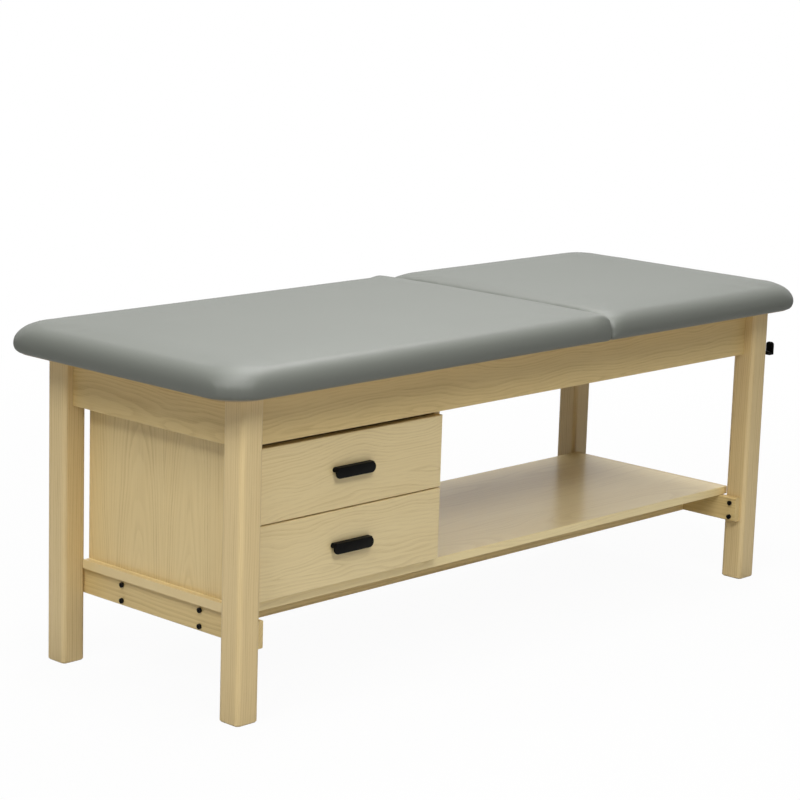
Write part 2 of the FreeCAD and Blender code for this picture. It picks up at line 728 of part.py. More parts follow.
def drawer_runners(level):
    """Moving members on the drawer's sides, nested in the fixed ones."""
    pieces = []
    half = RUNNER_HEIGHT / 2 - RUNNER_WALL - RUNNER_CLEARANCE
    for end in (FOOT_SIDE, HEAD_SIDE):
        x = X_DRAWERS + end * BOX_HALF
        depth = RUNNER_SPACE - RUNNER_WALL - RUNNER_CLEARANCE
        member = channel(x, end, half, depth, Y_RUNNER)
        pieces.append(placed(member, vector(0, 0, runner_middle(level))))
    return solid_group(pieces)


def pull(level):
    """A stadium plate hung from a round-ended neck that is flush with its top."""
    middle = pull_middle(level)
    reach = PULL_LENGTH / 2 - PULL_HEIGHT / 2
    y_face = Y_FRONT - PULL_REACH
    plate = slot_xz(X_DRAWERS - reach, middle, X_DRAWERS + reach, middle, PULL_HEIGHT / 2,
                    y_face, y_face + PULL_PLATE)
    plate = plate.makeChamfer(PULL_EDGE, [edge for edge in plate.Edges
                                          if edge.BoundBox.YMax < y_face + PULL_EDGE])
    z_neck = middle + (PULL_HEIGHT - PULL_NECK_HEIGHT) / 2
    neck_reach = reach - (PULL_HEIGHT - PULL_NECK_HEIGHT) / 2
    neck = slot_xz(X_DRAWERS - neck_reach, z_neck, X_DRAWERS + neck_reach, z_neck, PULL_NECK_HEIGHT / 2,
                   y_face + PULL_PLATE, Y_FRONT)
    shape = plate.fuse(neck).removeSplitter()
    for at in pull_screw_places(level):
        shape = shape.cut(pull_screw_hole(at))
    return shape


# Top: decks and pads

def pad_levels():
    """Height above the underside, draw-in of the outer edges and draw-in at the split."""
    levels = []
    for step in range(BELLY_STEPS):
        angle = math.pi / 2 * step / BELLY_STEPS
        levels.append((WIDEST_LIFT * (1 - math.cos(angle)), PAD_BELLY * (1 - math.sin(angle))))
    for step in range(ROUND_STEPS + 1):
        angle = math.pi / 2 * step / ROUND_STEPS
        height = WIDEST_LIFT + (TOP_THICKNESS - WIDEST_LIFT) * math.sin(angle)
        levels.append((height, ROUND_WIDTH * (1 - math.cos(angle))))
    for share in CROWN_SHARES:
        levels.append((TOP_THICKNESS + PAD_CROWN * (1 - (1 - share) ** 2), ROUND_WIDTH + CROWN_WIDTH * share))
    full = []
    for height, inset in levels:
        above = max(0, height - (TOP_THICKNESS - HINGE_DEPTH))
        split_inset = SPLIT_EDGE_RADIUS - math.sqrt(max(0, SPLIT_EDGE_RADIUS ** 2 - above ** 2))
        full.append((height, inset, split_inset))
    return full


def section_ends(end):
    """The outer end and the split face of a section of the top."""
    return end * TOP_LENGTH / 2, X_SPLIT + end * SPLIT_GAP / 2


def pad_outline(end, height, inset, split_inset):
    outer, split = section_ends(end)
    outer -= end * inset
    split += end * split_inset
    radius = max(CORNER_RADIUS - CORNER_TAPER_SHARE * inset, SPLIT_CORNER_RADIUS)
    z = FRAME_HEIGHT + height
    if end == FOOT_SIDE:
        return rounded_outline(outer, split, TOP_WIDTH / 2 - inset, z, radius, SPLIT_CORNER_RADIUS)
    return rounded_outline(split, outer, TOP_WIDTH / 2 - inset, z, SPLIT_CORNER_RADIUS, radius)


def deck_outline(end, clearance, z):
    outer, split = section_ends(end)
    outer -= end * (DECK_INSET - clearance)
    half = TOP_WIDTH / 2 - DECK_INSET + clearance
    radius = CORNER_RADIUS - DECK_INSET + clearance
    if end == FOOT_SIDE:
        return rounded_outline(outer, split + clearance, half, z, radius, SPLIT_CORNER_RADIUS)
    return rounded_outline(split - clearance, outer, half, z, SPLIT_CORNER_RADIUS, radius)


def deck(end):
    shape = Part.Face(deck_outline(end, 0, FRAME_HEIGHT)).extrude(Z_AXIS * DECK_THICKNESS)
    if end == FOOT_SIDE:
        for at in long_screw_places():
            shape = shape.cut(long_screw_hole(at))
    for at, axis in deck_screw_places(end):
        shape = shape.cut(small_screw_hole(at, axis))
    return shape


def pad(end):
    """Foam and vinyl over a deck: crowned, drawn in below, open underneath for the deck."""
    shape = Part.makeLoft([pad_outline(end, *level) for level in pad_levels()], True, True)
    pocket = Part.Face(deck_outline(end, PAD_CLEARANCE, FRAME_HEIGHT - CUT_OVERRUN))
    shape = shape.cut(pocket.extrude(Z_AXIS * (DECK_THICKNESS + CUT_OVERRUN + PAD_CLEARANCE)))
    for y in hinge_places():
        shape = shape.cut(hinge_pocket(end, y))
    return shape


# Hinges between the sections

def hinge_places():
    return (-HINGE_SPREAD, 0, HINGE_SPREAD)


def hinge_pocket(end, y):
    """Room in a pad for the knuckles, a leaf and the heads of its screws."""
    half = HINGE_WIDTH / 2 + HINGE_POCKET_CLEARANCE
    knuckles = bored(Y_AXIS, vector(X_SPLIT, y - half, Z_HINGE), 2 * half,
                     KNUCKLE_RADIUS + HINGE_POCKET_CLEARANCE)
    low, high = sorted((X_SPLIT, X_SPLIT + end * (LEAF_FOOT + HINGE_POCKET_CLEARANCE)))
    top = Z_DECK + LEAF_THICKNESS + SCREW_HEAD_HEIGHT + HINGE_POCKET_CLEARANCE
    return knuckles.fuse(block(low, high, y - half, y + half, Z_DECK - CUT_OVERRUN, top))


def leaf_spans(end):
    """Shares of a leaf's width that its knuckles take."""
    third = HINGE_WIDTH / 6
    if end == FOOT_SIDE:
        return ((-HINGE_WIDTH / 2, -third - KNUCKLE_GAP / 2), (third + KNUCKLE_GAP / 2, HINGE_WIDTH / 2))
    return ((-third + KNUCKLE_GAP / 2, third - KNUCKLE_GAP / 2),)


def hinge_leaf(end, y):
    """A tall leaf in the split: knuckles at its top, a foot on the deck at its bottom."""
    near = X_SPLIT + end * LEAF_MIDDLE_GAP / 2
    low, high = sorted((near, near + end * LEAF_THICKNESS))
    shoulder = Z_HINGE - KNUCKLE_RADIUS - KNUCKLE_CLEARANCE
    half = HINGE_WIDTH / 2
    leaf = block(low, high, y - half, y + half, Z_DECK, shoulder)
    foot_low, foot_high = sorted((near, near + end * LEAF_FOOT))
    pieces = [block(foot_low, foot_high, y - half, y + half, Z_DECK, Z_DECK + LEAF_THICKNESS)]
    bore = rod_along(Y_AXIS, vector(X_SPLIT, y - half - CUT_OVERRUN, Z_HINGE), 2 * (half + CUT_OVERRUN),
                     HINGE_PIN_RADIUS + PIN_CLEARANCE)
    for start, stop in leaf_spans(end):
        pieces.append(faceted(vector(X_SPLIT, y + start, Z_HINGE), Y_AXIS, KNUCKLE_RADIUS, BOLT_SIDES,
                              stop - start))
        pieces.append(block(low, high, y + start, y + stop, shoulder, Z_HINGE - HINGE_PIN_RADIUS))
    leaf = leaf.fuse(pieces).removeSplitter().cut(bore)
    for at, axis in hinge_screw_places(end, y):
        leaf = leaf.cut(small_screw_hole(at, axis))
    return leaf


def hinge_screw_places(end, y):
    x = X_SPLIT + end * (LEAF_FOOT - LEAF_SCREW_INSET)
    seat = Z_DECK + LEAF_THICKNESS
    half = HINGE_WIDTH / 2 - LEAF_SCREW_INSET
    return [(vector(x, y + side * half, seat), Z_AXIS * -1) for side in (-1, 1)]


def hinge_leaves(end):
    return solid_group([hinge_leaf(end, y) for y in hinge_places()])


def hinge_pins():
    return solid_group([rod_along(Y_AXIS, vector(X_SPLIT, y - HINGE_WIDTH / 2, Z_HINGE), HINGE_WIDTH,
                                  HINGE_PIN_RADIUS) for y in hinge_places()])


def small_screw_hole(at, axis):
    return bored(axis, at - axis * CUT_OVERRUN, SCREW_BITE + LEAF_THICKNESS + 2 * CUT_OVERRUN,
                 SCREW_DIAMETER / 2 + SCREW_CLEARANCE)


def deck_screw_places(end):
    places = [place for y in hinge_places() for place in hinge_screw_places(end, y)]
    if end == HEAD_SIDE:
        places += flange_screw_places()
    return places


def deck_screws(end):
    return solid_group([wood_screw(at, axis, SCREW_BITE + LEAF_THICKNESS, SCREW_DIAMETER, SCREW_HEAD_DIAMETER,
                                   SCREW_HEAD_HEIGHT) for at, axis in deck_screw_places(end)])


# Ratchet: a notched quadrant on the head deck and a hook pawl on a cross rail

def polar(radius, degrees):
    """A point about the hinge axis, its angle counted up from the level towards the head."""
    angle = math.radians(degrees)
    return X_SPLIT + radius * math.cos(angle), Z_HINGE + radius * math.sin(angle)


def notch_degrees():
    """Rest angles of the notches, one for each step of the tilt."""
    count = int(TILT_LIMIT_DEGREES / TILT_STEP_DEGREES)
    return [PAWL_DEGREES - TILT_STEP_DEGREES * (index + 1) for index in range(count)]


def undercut_degrees(depth):
    return math.degrees(depth * math.tan(math.radians(NOTCH_UNDERCUT_DEGREES)) / QUADRANT_RADIUS)


def notch(degrees):
    """A ratchet notch: an undercut face above, a short floor and a ramp below."""
    floor = QUADRANT_RADIUS - NOTCH_DEPTH
    under = undercut_degrees(NOTCH_DEPTH)
    width = math.degrees(NOTCH_FLOOR / QUADRANT_RADIUS)
    outer = QUADRANT_RADIUS + CUT_OVERRUN
    points = [polar(outer, degrees), polar(floor, degrees + under), polar(floor, degrees + under - width),
              polar(outer, degrees - NOTCH_RAMP_DEGREES)]
    half = QUADRANT_THICKNESS / 2 + CUT_OVERRUN
    return prism_xz(points, -half, half)


def flange_screw_places():
    """Seats under the quadrant's flange; the screws run up into the head deck."""
    z = FRAME_HEIGHT - FLANGE_THICKNESS
    places = []
    for x in (FLANGE_START + FLANGE_SCREW_INSET, FLANGE_END - FLANGE_SCREW_INSET):
        for side in (-1, 1):
            places.append((vector(X_SPLIT + x, side * FLANGE_WIDTH / 3, z), Z_AXIS))
    return places


def quadrant():
    """An arc about the hinge axis with a strut, a flange under the deck and its notches."""
    half = QUADRANT_THICKNESS / 2
    lowest = notch_degrees()[-1] - NOTCH_RAMP_DEGREES - QUADRANT_TAIL_DEGREES
    z_flange = FRAME_HEIGHT - FLANGE_THICKNESS
    inner = QUADRANT_RADIUS - QUADRANT_RIM
    middle = lowest / 2
    edges = [Part.Arc(*[vector(x, -half, z) for x, z in
                        (polar(QUADRANT_RADIUS, lowest), polar(QUADRANT_RADIUS, middle),
                         polar(QUADRANT_RADIUS, 0))]).toShape(),
             Part.Arc(*[vector(x, -half, z) for x, z in
                        (polar(inner, 0), polar(inner, middle), polar(inner, lowest))]).toShape()]
    for degrees in (0, lowest):
        ends = [vector(x, -half, z) for x, z in (polar(inner, degrees), polar(QUADRANT_RADIUS, degrees))]
        edges.append(Part.LineSegment(*ends).toShape())
    arc = Part.Face(Part.Wire(Part.__sortEdges__(edges))).extrude(Y_AXIS * QUADRANT_THICKNESS)
    above = block(X_SPLIT - QUADRANT_RADIUS, X_SPLIT + 2 * QUADRANT_RADIUS, -FLANGE_WIDTH, FLANGE_WIDTH,
                  FRAME_HEIGHT, Z_TOP + QUADRANT_RADIUS)
    arc = arc.cut(above)
    foot_x, foot_z = polar(QUADRANT_RADIUS - QUADRANT_RIM / 2, STRUT_DEGREES)
    strut_x = X_SPLIT + FLANGE_START
    strut = prism_xz([(strut_x, z_flange), (foot_x - STRUT_WIDTH / 2, foot_z),
                      (foot_x + STRUT_WIDTH / 2, foot_z), (strut_x + STRUT_WIDTH * 2, z_flange)], -half, half)
    flange = block(strut_x, X_SPLIT + FLANGE_END, -FLANGE_WIDTH / 2, FLANGE_WIDTH / 2, z_flange, FRAME_HEIGHT)
    shape = arc.fuse([strut, flange]).removeSplitter()
    for degrees in notch_degrees():
        shape = shape.cut(notch(degrees))
    for at, axis in flange_screw_places():
        shape = shape.cut(small_screw_hole(at, axis))
    return shape


PAWL_X, PAWL_Z = polar(QUADRANT_RADIUS + PAWL_PIVOT_LIFT, PAWL_PIVOT_DEGREES)
X_PAWL_RAIL = PAWL_X + PAWL_RAIL_STAND_OFF
HALF_PAWL = PAWL_THICKNESS / 2
ROD_Y = HALF_PAWL + ROD_SIDE_GAP


def stud(x, z):
    """A riveted stud beside an arm, with the head that keeps the rod's eye on it."""
    shank = rod_along(Y_AXIS, vector(x, 0, z), ROD_Y + ROD_EYE + ROD_SIDE_GAP, STUD_RADIUS)
    head = rod_along(Y_AXIS, vector(x, ROD_Y + ROD_EYE + ROD_SIDE_GAP, z), STUD_HEAD, STUD_HEAD_RADIUS)
    return shank.fuse(head)


def pawl():
    """A hook that catches the notches from outside, with an arm down to the pull rod."""
    tip = QUADRANT_RADIUS + PAWL_RUN_CLEARANCE
    root = tip + PAWL_TOOTH
    back = root + PAWL_ARM_WIDTH
    face = PAWL_DEGREES + undercut_degrees(PAWL_TOOTH)
    tip_width = math.degrees(PAWL_TIP / tip)
    heel = PAWL_DEGREES - 2 * tip_width
    points = [polar(tip, face), polar(tip, face - tip_width), polar(root, heel - tip_width),
              polar(back, heel), polar(back, PAWL_PIVOT_DEGREES), polar(root, PAWL_PIVOT_DEGREES),
              polar(root, PAWL_DEGREES)]
    hook = prism_xz(points, -HALF_PAWL, HALF_PAWL)
    boss = rod_along(Y_AXIS, vector(PAWL_X, -HALF_PAWL, PAWL_Z), PAWL_THICKNESS, PAWL_BOSS_RADIUS)
    arm = slot_xz(PAWL_X, PAWL_Z, PAWL_X, PAWL_Z - CRANK_LENGTH, CRANK_END_RADIUS, -HALF_PAWL, HALF_PAWL)
    shape = hook.fuse([boss, arm, stud(PAWL_X, PAWL_Z - CRANK_LENGTH)]).removeSplitter()
    return shape.cut(rod_along(Y_AXIS, vector(PAWL_X, -PAWL_THICKNESS, PAWL_Z), 2 * PAWL_THICKNESS,
                               PAWL_PIN_RADIUS + PIN_CLEARANCE))


def pawl_rail():
    rail = block(X_PAWL_RAIL, X_PAWL_RAIL + CROSS_RAIL_WIDTH, -Y_APRON_IN, Y_APRON_IN,
                 FRAME_HEIGHT - PAWL_RAIL_HEIGHT, FRAME_HEIGHT)
    return with_bracket_screw_holes(rail)


def pawl_bracket():
    """A bent bracket on the rail whose two cheeks hold the pawl's pin."""
    z0 = PAWL_Z - BRACKET_HEIGHT * BRACKET_DROP_SHARE
    base = block(X_PAWL_RAIL - BRACKET_BASE, X_PAWL_RAIL, -BRACKET_WIDTH / 2, BRACKET_WIDTH / 2,
                 z0, z0 + BRACKET_HEIGHT)
    pieces = []
    for side in (-1, 1):
        near = side * (HALF_PAWL + CHEEK_CLEARANCE)
        low, high = sorted((near, near + side * CHEEK_THICKNESS))
        pieces.append(slot_xz(PAWL_X, PAWL_Z, X_PAWL_RAIL - PAWL_BOSS_RADIUS - BRACKET_BASE, PAWL_Z,
                              PAWL_BOSS_RADIUS, low, high))
        pieces.append(block(PAWL_X, X_PAWL_RAIL - BRACKET_BASE / 2, low, high,
                            PAWL_Z - PAWL_BOSS_RADIUS, PAWL_Z + PAWL_BOSS_RADIUS))
    shape = base.fuse(pieces).removeSplitter()
    reach = HALF_PAWL + CHEEK_CLEARANCE + CHEEK_THICKNESS + CUT_OVERRUN
    shape = shape.cut(rod_along(Y_AXIS, vector(PAWL_X, -reach, PAWL_Z), 2 * reach,
                                PAWL_PIN_RADIUS + PIN_CLEARANCE))
    return with_bracket_screw_holes(shape)


def pawl_pin():
    reach = HALF_PAWL + CHEEK_CLEARANCE + CHEEK_THICKNESS + PIN_STICK_OUT
    return rod_along(Y_AXIS, vector(PAWL_X, -reach, PAWL_Z), 2 * reach, PAWL_PIN_RADIUS)


def pawl_bracket_screw_places():
    """Seats on the bracket's base; the screws run into the rail behind it."""
    z0 = PAWL_Z - BRACKET_HEIGHT * BRACKET_DROP_SHARE
    x = X_PAWL_RAIL - BRACKET_BASE
    return [(vector(x, side * (BRACKET_WIDTH / 2 - BRACKET_SCREW_INSET), z), X_AXIS)
            for side in (-1, 1) for z in (z0 + BRACKET_SCREW_INSET, z0 + BRACKET_HEIGHT - BRACKET_SCREW_INSET)]


# Release lever, its brackets and spring, and the pull rod to the pawl

def shaft_bracket_places():
    return (-Y_LEG + SHAFT_BRACKET_INSET, SHAFT_END - SHAFT_BRACKET_WIDTH / 2)


def release_lever():
    """Shaft, upturned grip and crank welded together."""
    y_grip = -Y_SIDE + GRIP_INSET
    shaft = rod_along(Y_AXIS, vector(X_SHAFT, y_grip, Z_SHAFT), SHAFT_END + SHAFT_BRACKET_WIDTH / 2 - y_grip,
                      SHAFT_RADIUS)
    x_out = X_SHAFT + GRIP_REACH
    neck = block(X_SHAFT, x_out, y_grip, y_grip + GRIP_WIDTH, Z_SHAFT - SHAFT_RADIUS,
                 Z_SHAFT - SHAFT_RADIUS + GRIP_NECK / 2)
    grip = block(x_out - GRIP_THICKNESS, x_out, y_grip, y_grip + GRIP_WIDTH, Z_SHAFT - SHAFT_RADIUS,
                 Z_SHAFT + GRIP_RISE)
    top_edges = [edge for edge in edges_along(grip, X_AXIS) if edge.CenterOfMass.z > Z_SHAFT]
    grip = grip.makeFillet(GRIP_WIDTH / 3, top_edges)
    crank = slot_xz(X_SHAFT, Z_SHAFT, X_SHAFT, Z_SHAFT - CRANK_LENGTH, CRANK_END_RADIUS,
                    -HALF_PAWL, HALF_PAWL)
    return shaft.fuse([neck, grip, crank, stud(X_SHAFT, Z_SHAFT - CRANK_LENGTH)]).removeSplitter()


def shaft_bracket(y):
    half = SHAFT_BRACKET_WIDTH / 2
    base = block(X_APRON_HEAD, X_APRON_HEAD + SHAFT_BRACKET_BASE, y - half, y + half,
                 Z_APRON, Z_APRON + SHAFT_BRACKET_RISE)
    arm = slot_xz(X_APRON_HEAD + SHAFT_BRACKET_EDGE, Z_SHAFT + SHAFT_BRACKET_EDGE, X_SHAFT, Z_SHAFT,
                  SHAFT_BRACKET_EDGE, y - half / 2, y + half / 2)
    web = block(X_APRON_HEAD, X_APRON_HEAD + SHAFT_BRACKET_EDGE, y - half / 2, y + half / 2,
                Z_APRON + BOARD_EDGE, Z_SHAFT + 2 * SHAFT_BRACKET_EDGE)
    bore = rod_along(Y_AXIS, vector(X_SHAFT, y - SHAFT_BRACKET_WIDTH, Z_SHAFT), 2 * SHAFT_BRACKET_WIDTH,
                     SHAFT_RADIUS + PIN_CLEARANCE)
    shape = base.fuse([arm, web]).removeSplitter().cut(bore)
    under = block(X_APRON_HEAD - CUT_OVERRUN - LEG_SIZE, X_APRON_HEAD, y - half, y + half,
                  Z_SHAFT - SHAFT_BRACKET_EDGE, Z_APRON + SHAFT_BRACKET_RISE)
    return with_bracket_screw_holes(shape.cut(under))


def shaft_bracket_screw_places():
    """Seats on the bases of the shaft's brackets; the screws run into the head apron."""
    z = Z_APRON + SHAFT_BRACKET_RISE - SHAFT_BRACKET_EDGE
    return [(vector(X_APRON_HEAD + SHAFT_BRACKET_BASE, y, z), X_AXIS * -1) for y in shaft_bracket_places()]


def cabinet_screw_places():
    """Seats under the shelf; the screws run up into the cabinet's bottom."""
    y = Y_SHELF - DOWEL_INSET - CABINET_SCREW_SHIFT
    reach = CABINET_WIDTH / 2 - PANEL - CABINET_SCREW_INSET
    return [(vector(X_DRAWERS + along * reach, side * y, Z_SHELF), Z_AXIS)
            for along in (-1, 1) for side in (-1, 1)]


def fixing_screw_places():
    """Every short screw that holds metal to the frame, with its bite."""
    places = [(at, axis, SCREW_BITE + BRACKET_BASE) for at, axis in pawl_bracket_screw_places()]
    places += [(at, axis, SCREW_BITE + SHAFT_BRACKET_BASE) for at, axis in shaft_bracket_screw_places()]
    places += [(at, axis, SCREW_BITE + SHELF_THICKNESS) for at, axis in cabinet_screw_places()]
    return places


def with_bracket_screw_holes(shape):
    for at, axis, bite in fixing_screw_places():
        hole = bored(axis, at - axis * CUT_OVERRUN, bite + 2 * CUT_OVERRUN,
                     SCREW_DIAMETER / 2 + SCREW_CLEARANCE)
        if shape.BoundBox.intersect(hole.BoundBox):
            shape = shape.cut(hole)
    return shape


def fixing_screws():
    return solid_group([wood_screw(at, axis, bite, SCREW_DIAMETER, SCREW_HEAD_DIAMETER, SCREW_HEAD_HEIGHT)
                        for at, axis, bite in fixing_screw_places()])


def release_brackets():
    return solid_group([shaft_bracket(y) for y in shaft_bracket_places()])


def release_spring():
    """A torsion spring of square wire whose flats clear the shaft beside the crank."""
    inner = (SHAFT_RADIUS + SPRING_CLEARANCE) / math.cos(math.pi / SPRING_SPANS)
    y0 = HALF_PAWL + ROD_EYE + 2 * ROD_SIDE_GAP + STUD_HEAD + SPRING_WIRE
    sections = []
    for step in range(SPRING_TURNS * SPRING_SPANS + 1):
        angle = 2 * math.pi * step / SPRING_SPANS
        y = y0 + SPRING_PITCH * step / SPRING_SPANS
        corners = []
        for radius, rise in ((inner, 0), (inner + SPRING_WIRE, 0), (inner + SPRING_WIRE, SPRING_WIRE),
                             (inner, SPRING_WIRE)):
            corners.append(vector(X_SHAFT + radius * math.cos(angle), y + rise,
                                  Z_SHAFT + radius * math.sin(angle)))
        sections.append(Part.makePolygon(corners + corners[:1]))
    return Part.makeLoft(sections, True, True)


def pull_rod():
    """A round rod with a flat eye at each end, from the crank to the pawl."""
    y0, y1 = ROD_Y, ROD_Y + ROD_EYE
    x_crank, z_crank = X_SHAFT, Z_SHAFT - CRANK_LENGTH
    x_pawl, z_pawl = PAWL_X, PAWL_Z - CRANK_LENGTH
    run = vector(x_crank - x_pawl, 0, z_crank - z_pawl)
    along = vector(run.x, run.y, run.z).normalize()
    middle_y = (y0 + y1) / 2
    start = vector(x_pawl, middle_y, z_pawl) + along * ROD_EYE_RADIUS / 2
    shape = rod_along(along, start, run.Length - ROD_EYE_RADIUS, ROD_RADIUS)
    eyes = []
    for x, z in ((x_pawl, z_pawl), (x_crank, z_crank)):
        eyes.append(rod_along(Y_AXIS, vector(x, y0, z), ROD_EYE, ROD_EYE_RADIUS))
    shape = shape.fuse(eyes).removeSplitter()
    for x, z, clearance in ((x_pawl, z_pawl, OPEN_PIVOT_CLEARANCE), (x_crank, z_crank, PIN_CLEARANCE)):
        shape = shape.cut(rod_along(Y_AXIS, vector(x, y0 - ROD_RADIUS, z), ROD_EYE + 2 * ROD_RADIUS,
                                    STUD_RADIUS + clearance))
        slot = rod_along(Y_AXIS, vector(x, y1, z), ROD_RADIUS, STUD_HEAD_RADIUS + ROD_SIDE_GAP)
        near = rod_along(Y_AXIS, vector(x, y0 - ROD_RADIUS, z), ROD_RADIUS,
                         CRANK_END_RADIUS + CRANK_LENGTH / 2)
        shape = shape.cut(slot).cut(near)
    return shape


def all_nodes():
    nodes = {}
    names = {(FOOT_SIDE, -1): "foot_front", (FOOT_SIDE, 1): "foot_rear",
             (HEAD_SIDE, -1): "head_front", (HEAD_SIDE, 1): "head_rear"}
    for corner in corner_signs():
        nodes["leg_" + names[corner]] = leg(*corner)
    nodes["apron_front"] = side_apron(-1)
    nodes["apron_rear"] = side_apron(1)
    nodes["corner_blocks"] = solid_group([corner_block(*corner) for corner in corner_signs()])
    nodes["hanger_bolts"] = solid_group([hanger_bolt(*corner) for corner in corner_signs()])
    nodes["split_rail"] = split_rail()
    nodes["deck_rail"] = deck_rail()
    nodes["pawl_rail"] = pawl_rail()
    nodes["shelf"] = shelf()
    nodes["shelf_rails"] = shelf_rails()
    nodes["frame_bolts"] = frame_bolts()
    nodes["cabinet_back"] = cabinet_back()
    nodes["cabinet_bottom"] = cabinet_level(SHELF_TOP)
    nodes["cabinet_top"] = cabinet_level(Z_CABINET - PANEL)
    nodes["cabinet_dowels"] = cabinet_dowels()
    nodes["cabinet_runners"] = cabinet_runners()
    for level, name in enumerate(("lower", "upper")):
        nodes[name + "_drawer_front"] = drawer_front(level)
        nodes[name + "_drawer_bottom"] = drawer_bottom(level)
        nodes[name + "_drawer_back"] = drawer_back(level)
        nodes[name + "_drawer_runners"] = drawer_runners(level)
        nodes[name + "_pull"] = pull(level)
        nodes[name + "_pull_screws"] = pull_screws(level)
        for end, end_name in ((FOOT_SIDE, "foot"), (HEAD_SIDE, "head")):
            nodes[name + "_drawer_side_" + end_name] = drawer_side(level, end)
    for end, name in ((FOOT_SIDE, "foot"), (HEAD_SIDE, "head")):
        nodes["apron_" + name] = end_apron(end)
        nodes["stretcher_" + name] = stretcher(end)
        nodes["cabinet_side_" + name] = cabinet_side(end)
        nodes[name + "_deck"] = deck(end)
        nodes[name + "_pad"] = pad(end)
        nodes["hinge_leaves_" + name] = hinge_leaves(end)
    nodes["foot_deck_screws"] = foot_deck_screws()
    nodes["fixing_screws"] = fixing_screws()
    nodes["hinge_screws_foot"] = deck_screws(FOOT_SIDE)
    nodes["head_deck_screws"] = deck_screws(HEAD_SIDE)
    nodes["hinge_pins"] = hinge_pins()
    nodes["quadrant"] = quadrant()
    nodes["pawl"] = pawl()
    nodes["pawl_bracket"] = pawl_bracket()
    nodes["pawl_pin"] = pawl_pin()
    nodes["release_lever"] = release_lever()
    nodes["release_brackets"] = release_brackets()
    nodes["release_spring"] = release_spring()
    nodes["pull_rod"] = pull_rod()
    return nodes


os.makedirs("parts", exist_ok=True)
for node_name, node_shape in all_nodes().items():
    node_shape.exportStep("parts/" + node_name + ".step")
    print(node_name, len(node_shape.Solids), node_shape.isValid(), round(node_shape.Volume))
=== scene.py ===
import math

import bmesh
import bpy
import numpy as np
from mathutils import Matrix, Vector


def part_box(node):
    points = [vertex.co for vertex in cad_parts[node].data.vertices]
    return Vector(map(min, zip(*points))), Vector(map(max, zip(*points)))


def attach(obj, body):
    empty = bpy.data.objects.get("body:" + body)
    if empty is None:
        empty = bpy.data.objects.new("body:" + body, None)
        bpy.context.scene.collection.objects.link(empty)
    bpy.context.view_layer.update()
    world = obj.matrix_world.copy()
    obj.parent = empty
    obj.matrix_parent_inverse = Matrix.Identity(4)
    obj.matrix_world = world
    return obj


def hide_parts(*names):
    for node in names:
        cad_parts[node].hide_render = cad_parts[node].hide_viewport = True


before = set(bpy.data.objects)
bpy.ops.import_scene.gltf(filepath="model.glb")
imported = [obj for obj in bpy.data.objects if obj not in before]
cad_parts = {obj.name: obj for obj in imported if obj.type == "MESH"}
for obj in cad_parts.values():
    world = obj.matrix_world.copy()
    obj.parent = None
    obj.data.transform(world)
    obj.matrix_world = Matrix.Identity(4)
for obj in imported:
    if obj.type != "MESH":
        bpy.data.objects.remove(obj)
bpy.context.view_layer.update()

# All lengths are in metres and all angles in degrees unless a name says otherwise.

# Camera of the photograph
CAMERA_PLACE = Vector((-4.3057, -3.9610, 1.7316))
CAMERA_HEADING = 46.69
CAMERA_DIP = 11.61
CAMERA_ROLL = 1.83
CAMERA_LENS_MM = 112.77
SENSOR_MM = 36.0
CAMERA_REACH = 100

WHITE = (1, 1, 1, 1)

# Tolerances: a length that only rounding makes, and a divisor that keeps a direction from being 0 / 0
NEAR = 1e-5
TINY = 1e-9

bpy.context.scene.view_settings.view_transform = "Standard"


# Shader maths

# Sockets of a Mix node that mixes colours
MIX_SHARE = 0
MIX_FIRST = 6
MIX_SECOND = 7
MIX_RESULT = 2


class Reading:
    """A value at a node's output; sums and products of it add Math nodes."""

    def __init__(self, nodes, socket):
        self.nodes = nodes
        self.socket = socket

    def __add__(self, other):
        return self.nodes.maths("ADD", self, other)

    def __radd__(self, other):
        return self.nodes.maths("ADD", other, self)

    def __sub__(self, other):
        return self.nodes.maths("SUBTRACT", self, other)

    def __rsub__(self, other):
        return self.nodes.maths("SUBTRACT", other, self)

    def __mul__(self, other):
        return self.nodes.maths("MULTIPLY", self, other)

    def __rmul__(self, other):
        return self.nodes.maths("MULTIPLY", other, self)

    def __truediv__(self, other):
        return self.nodes.maths("DIVIDE", self, other)


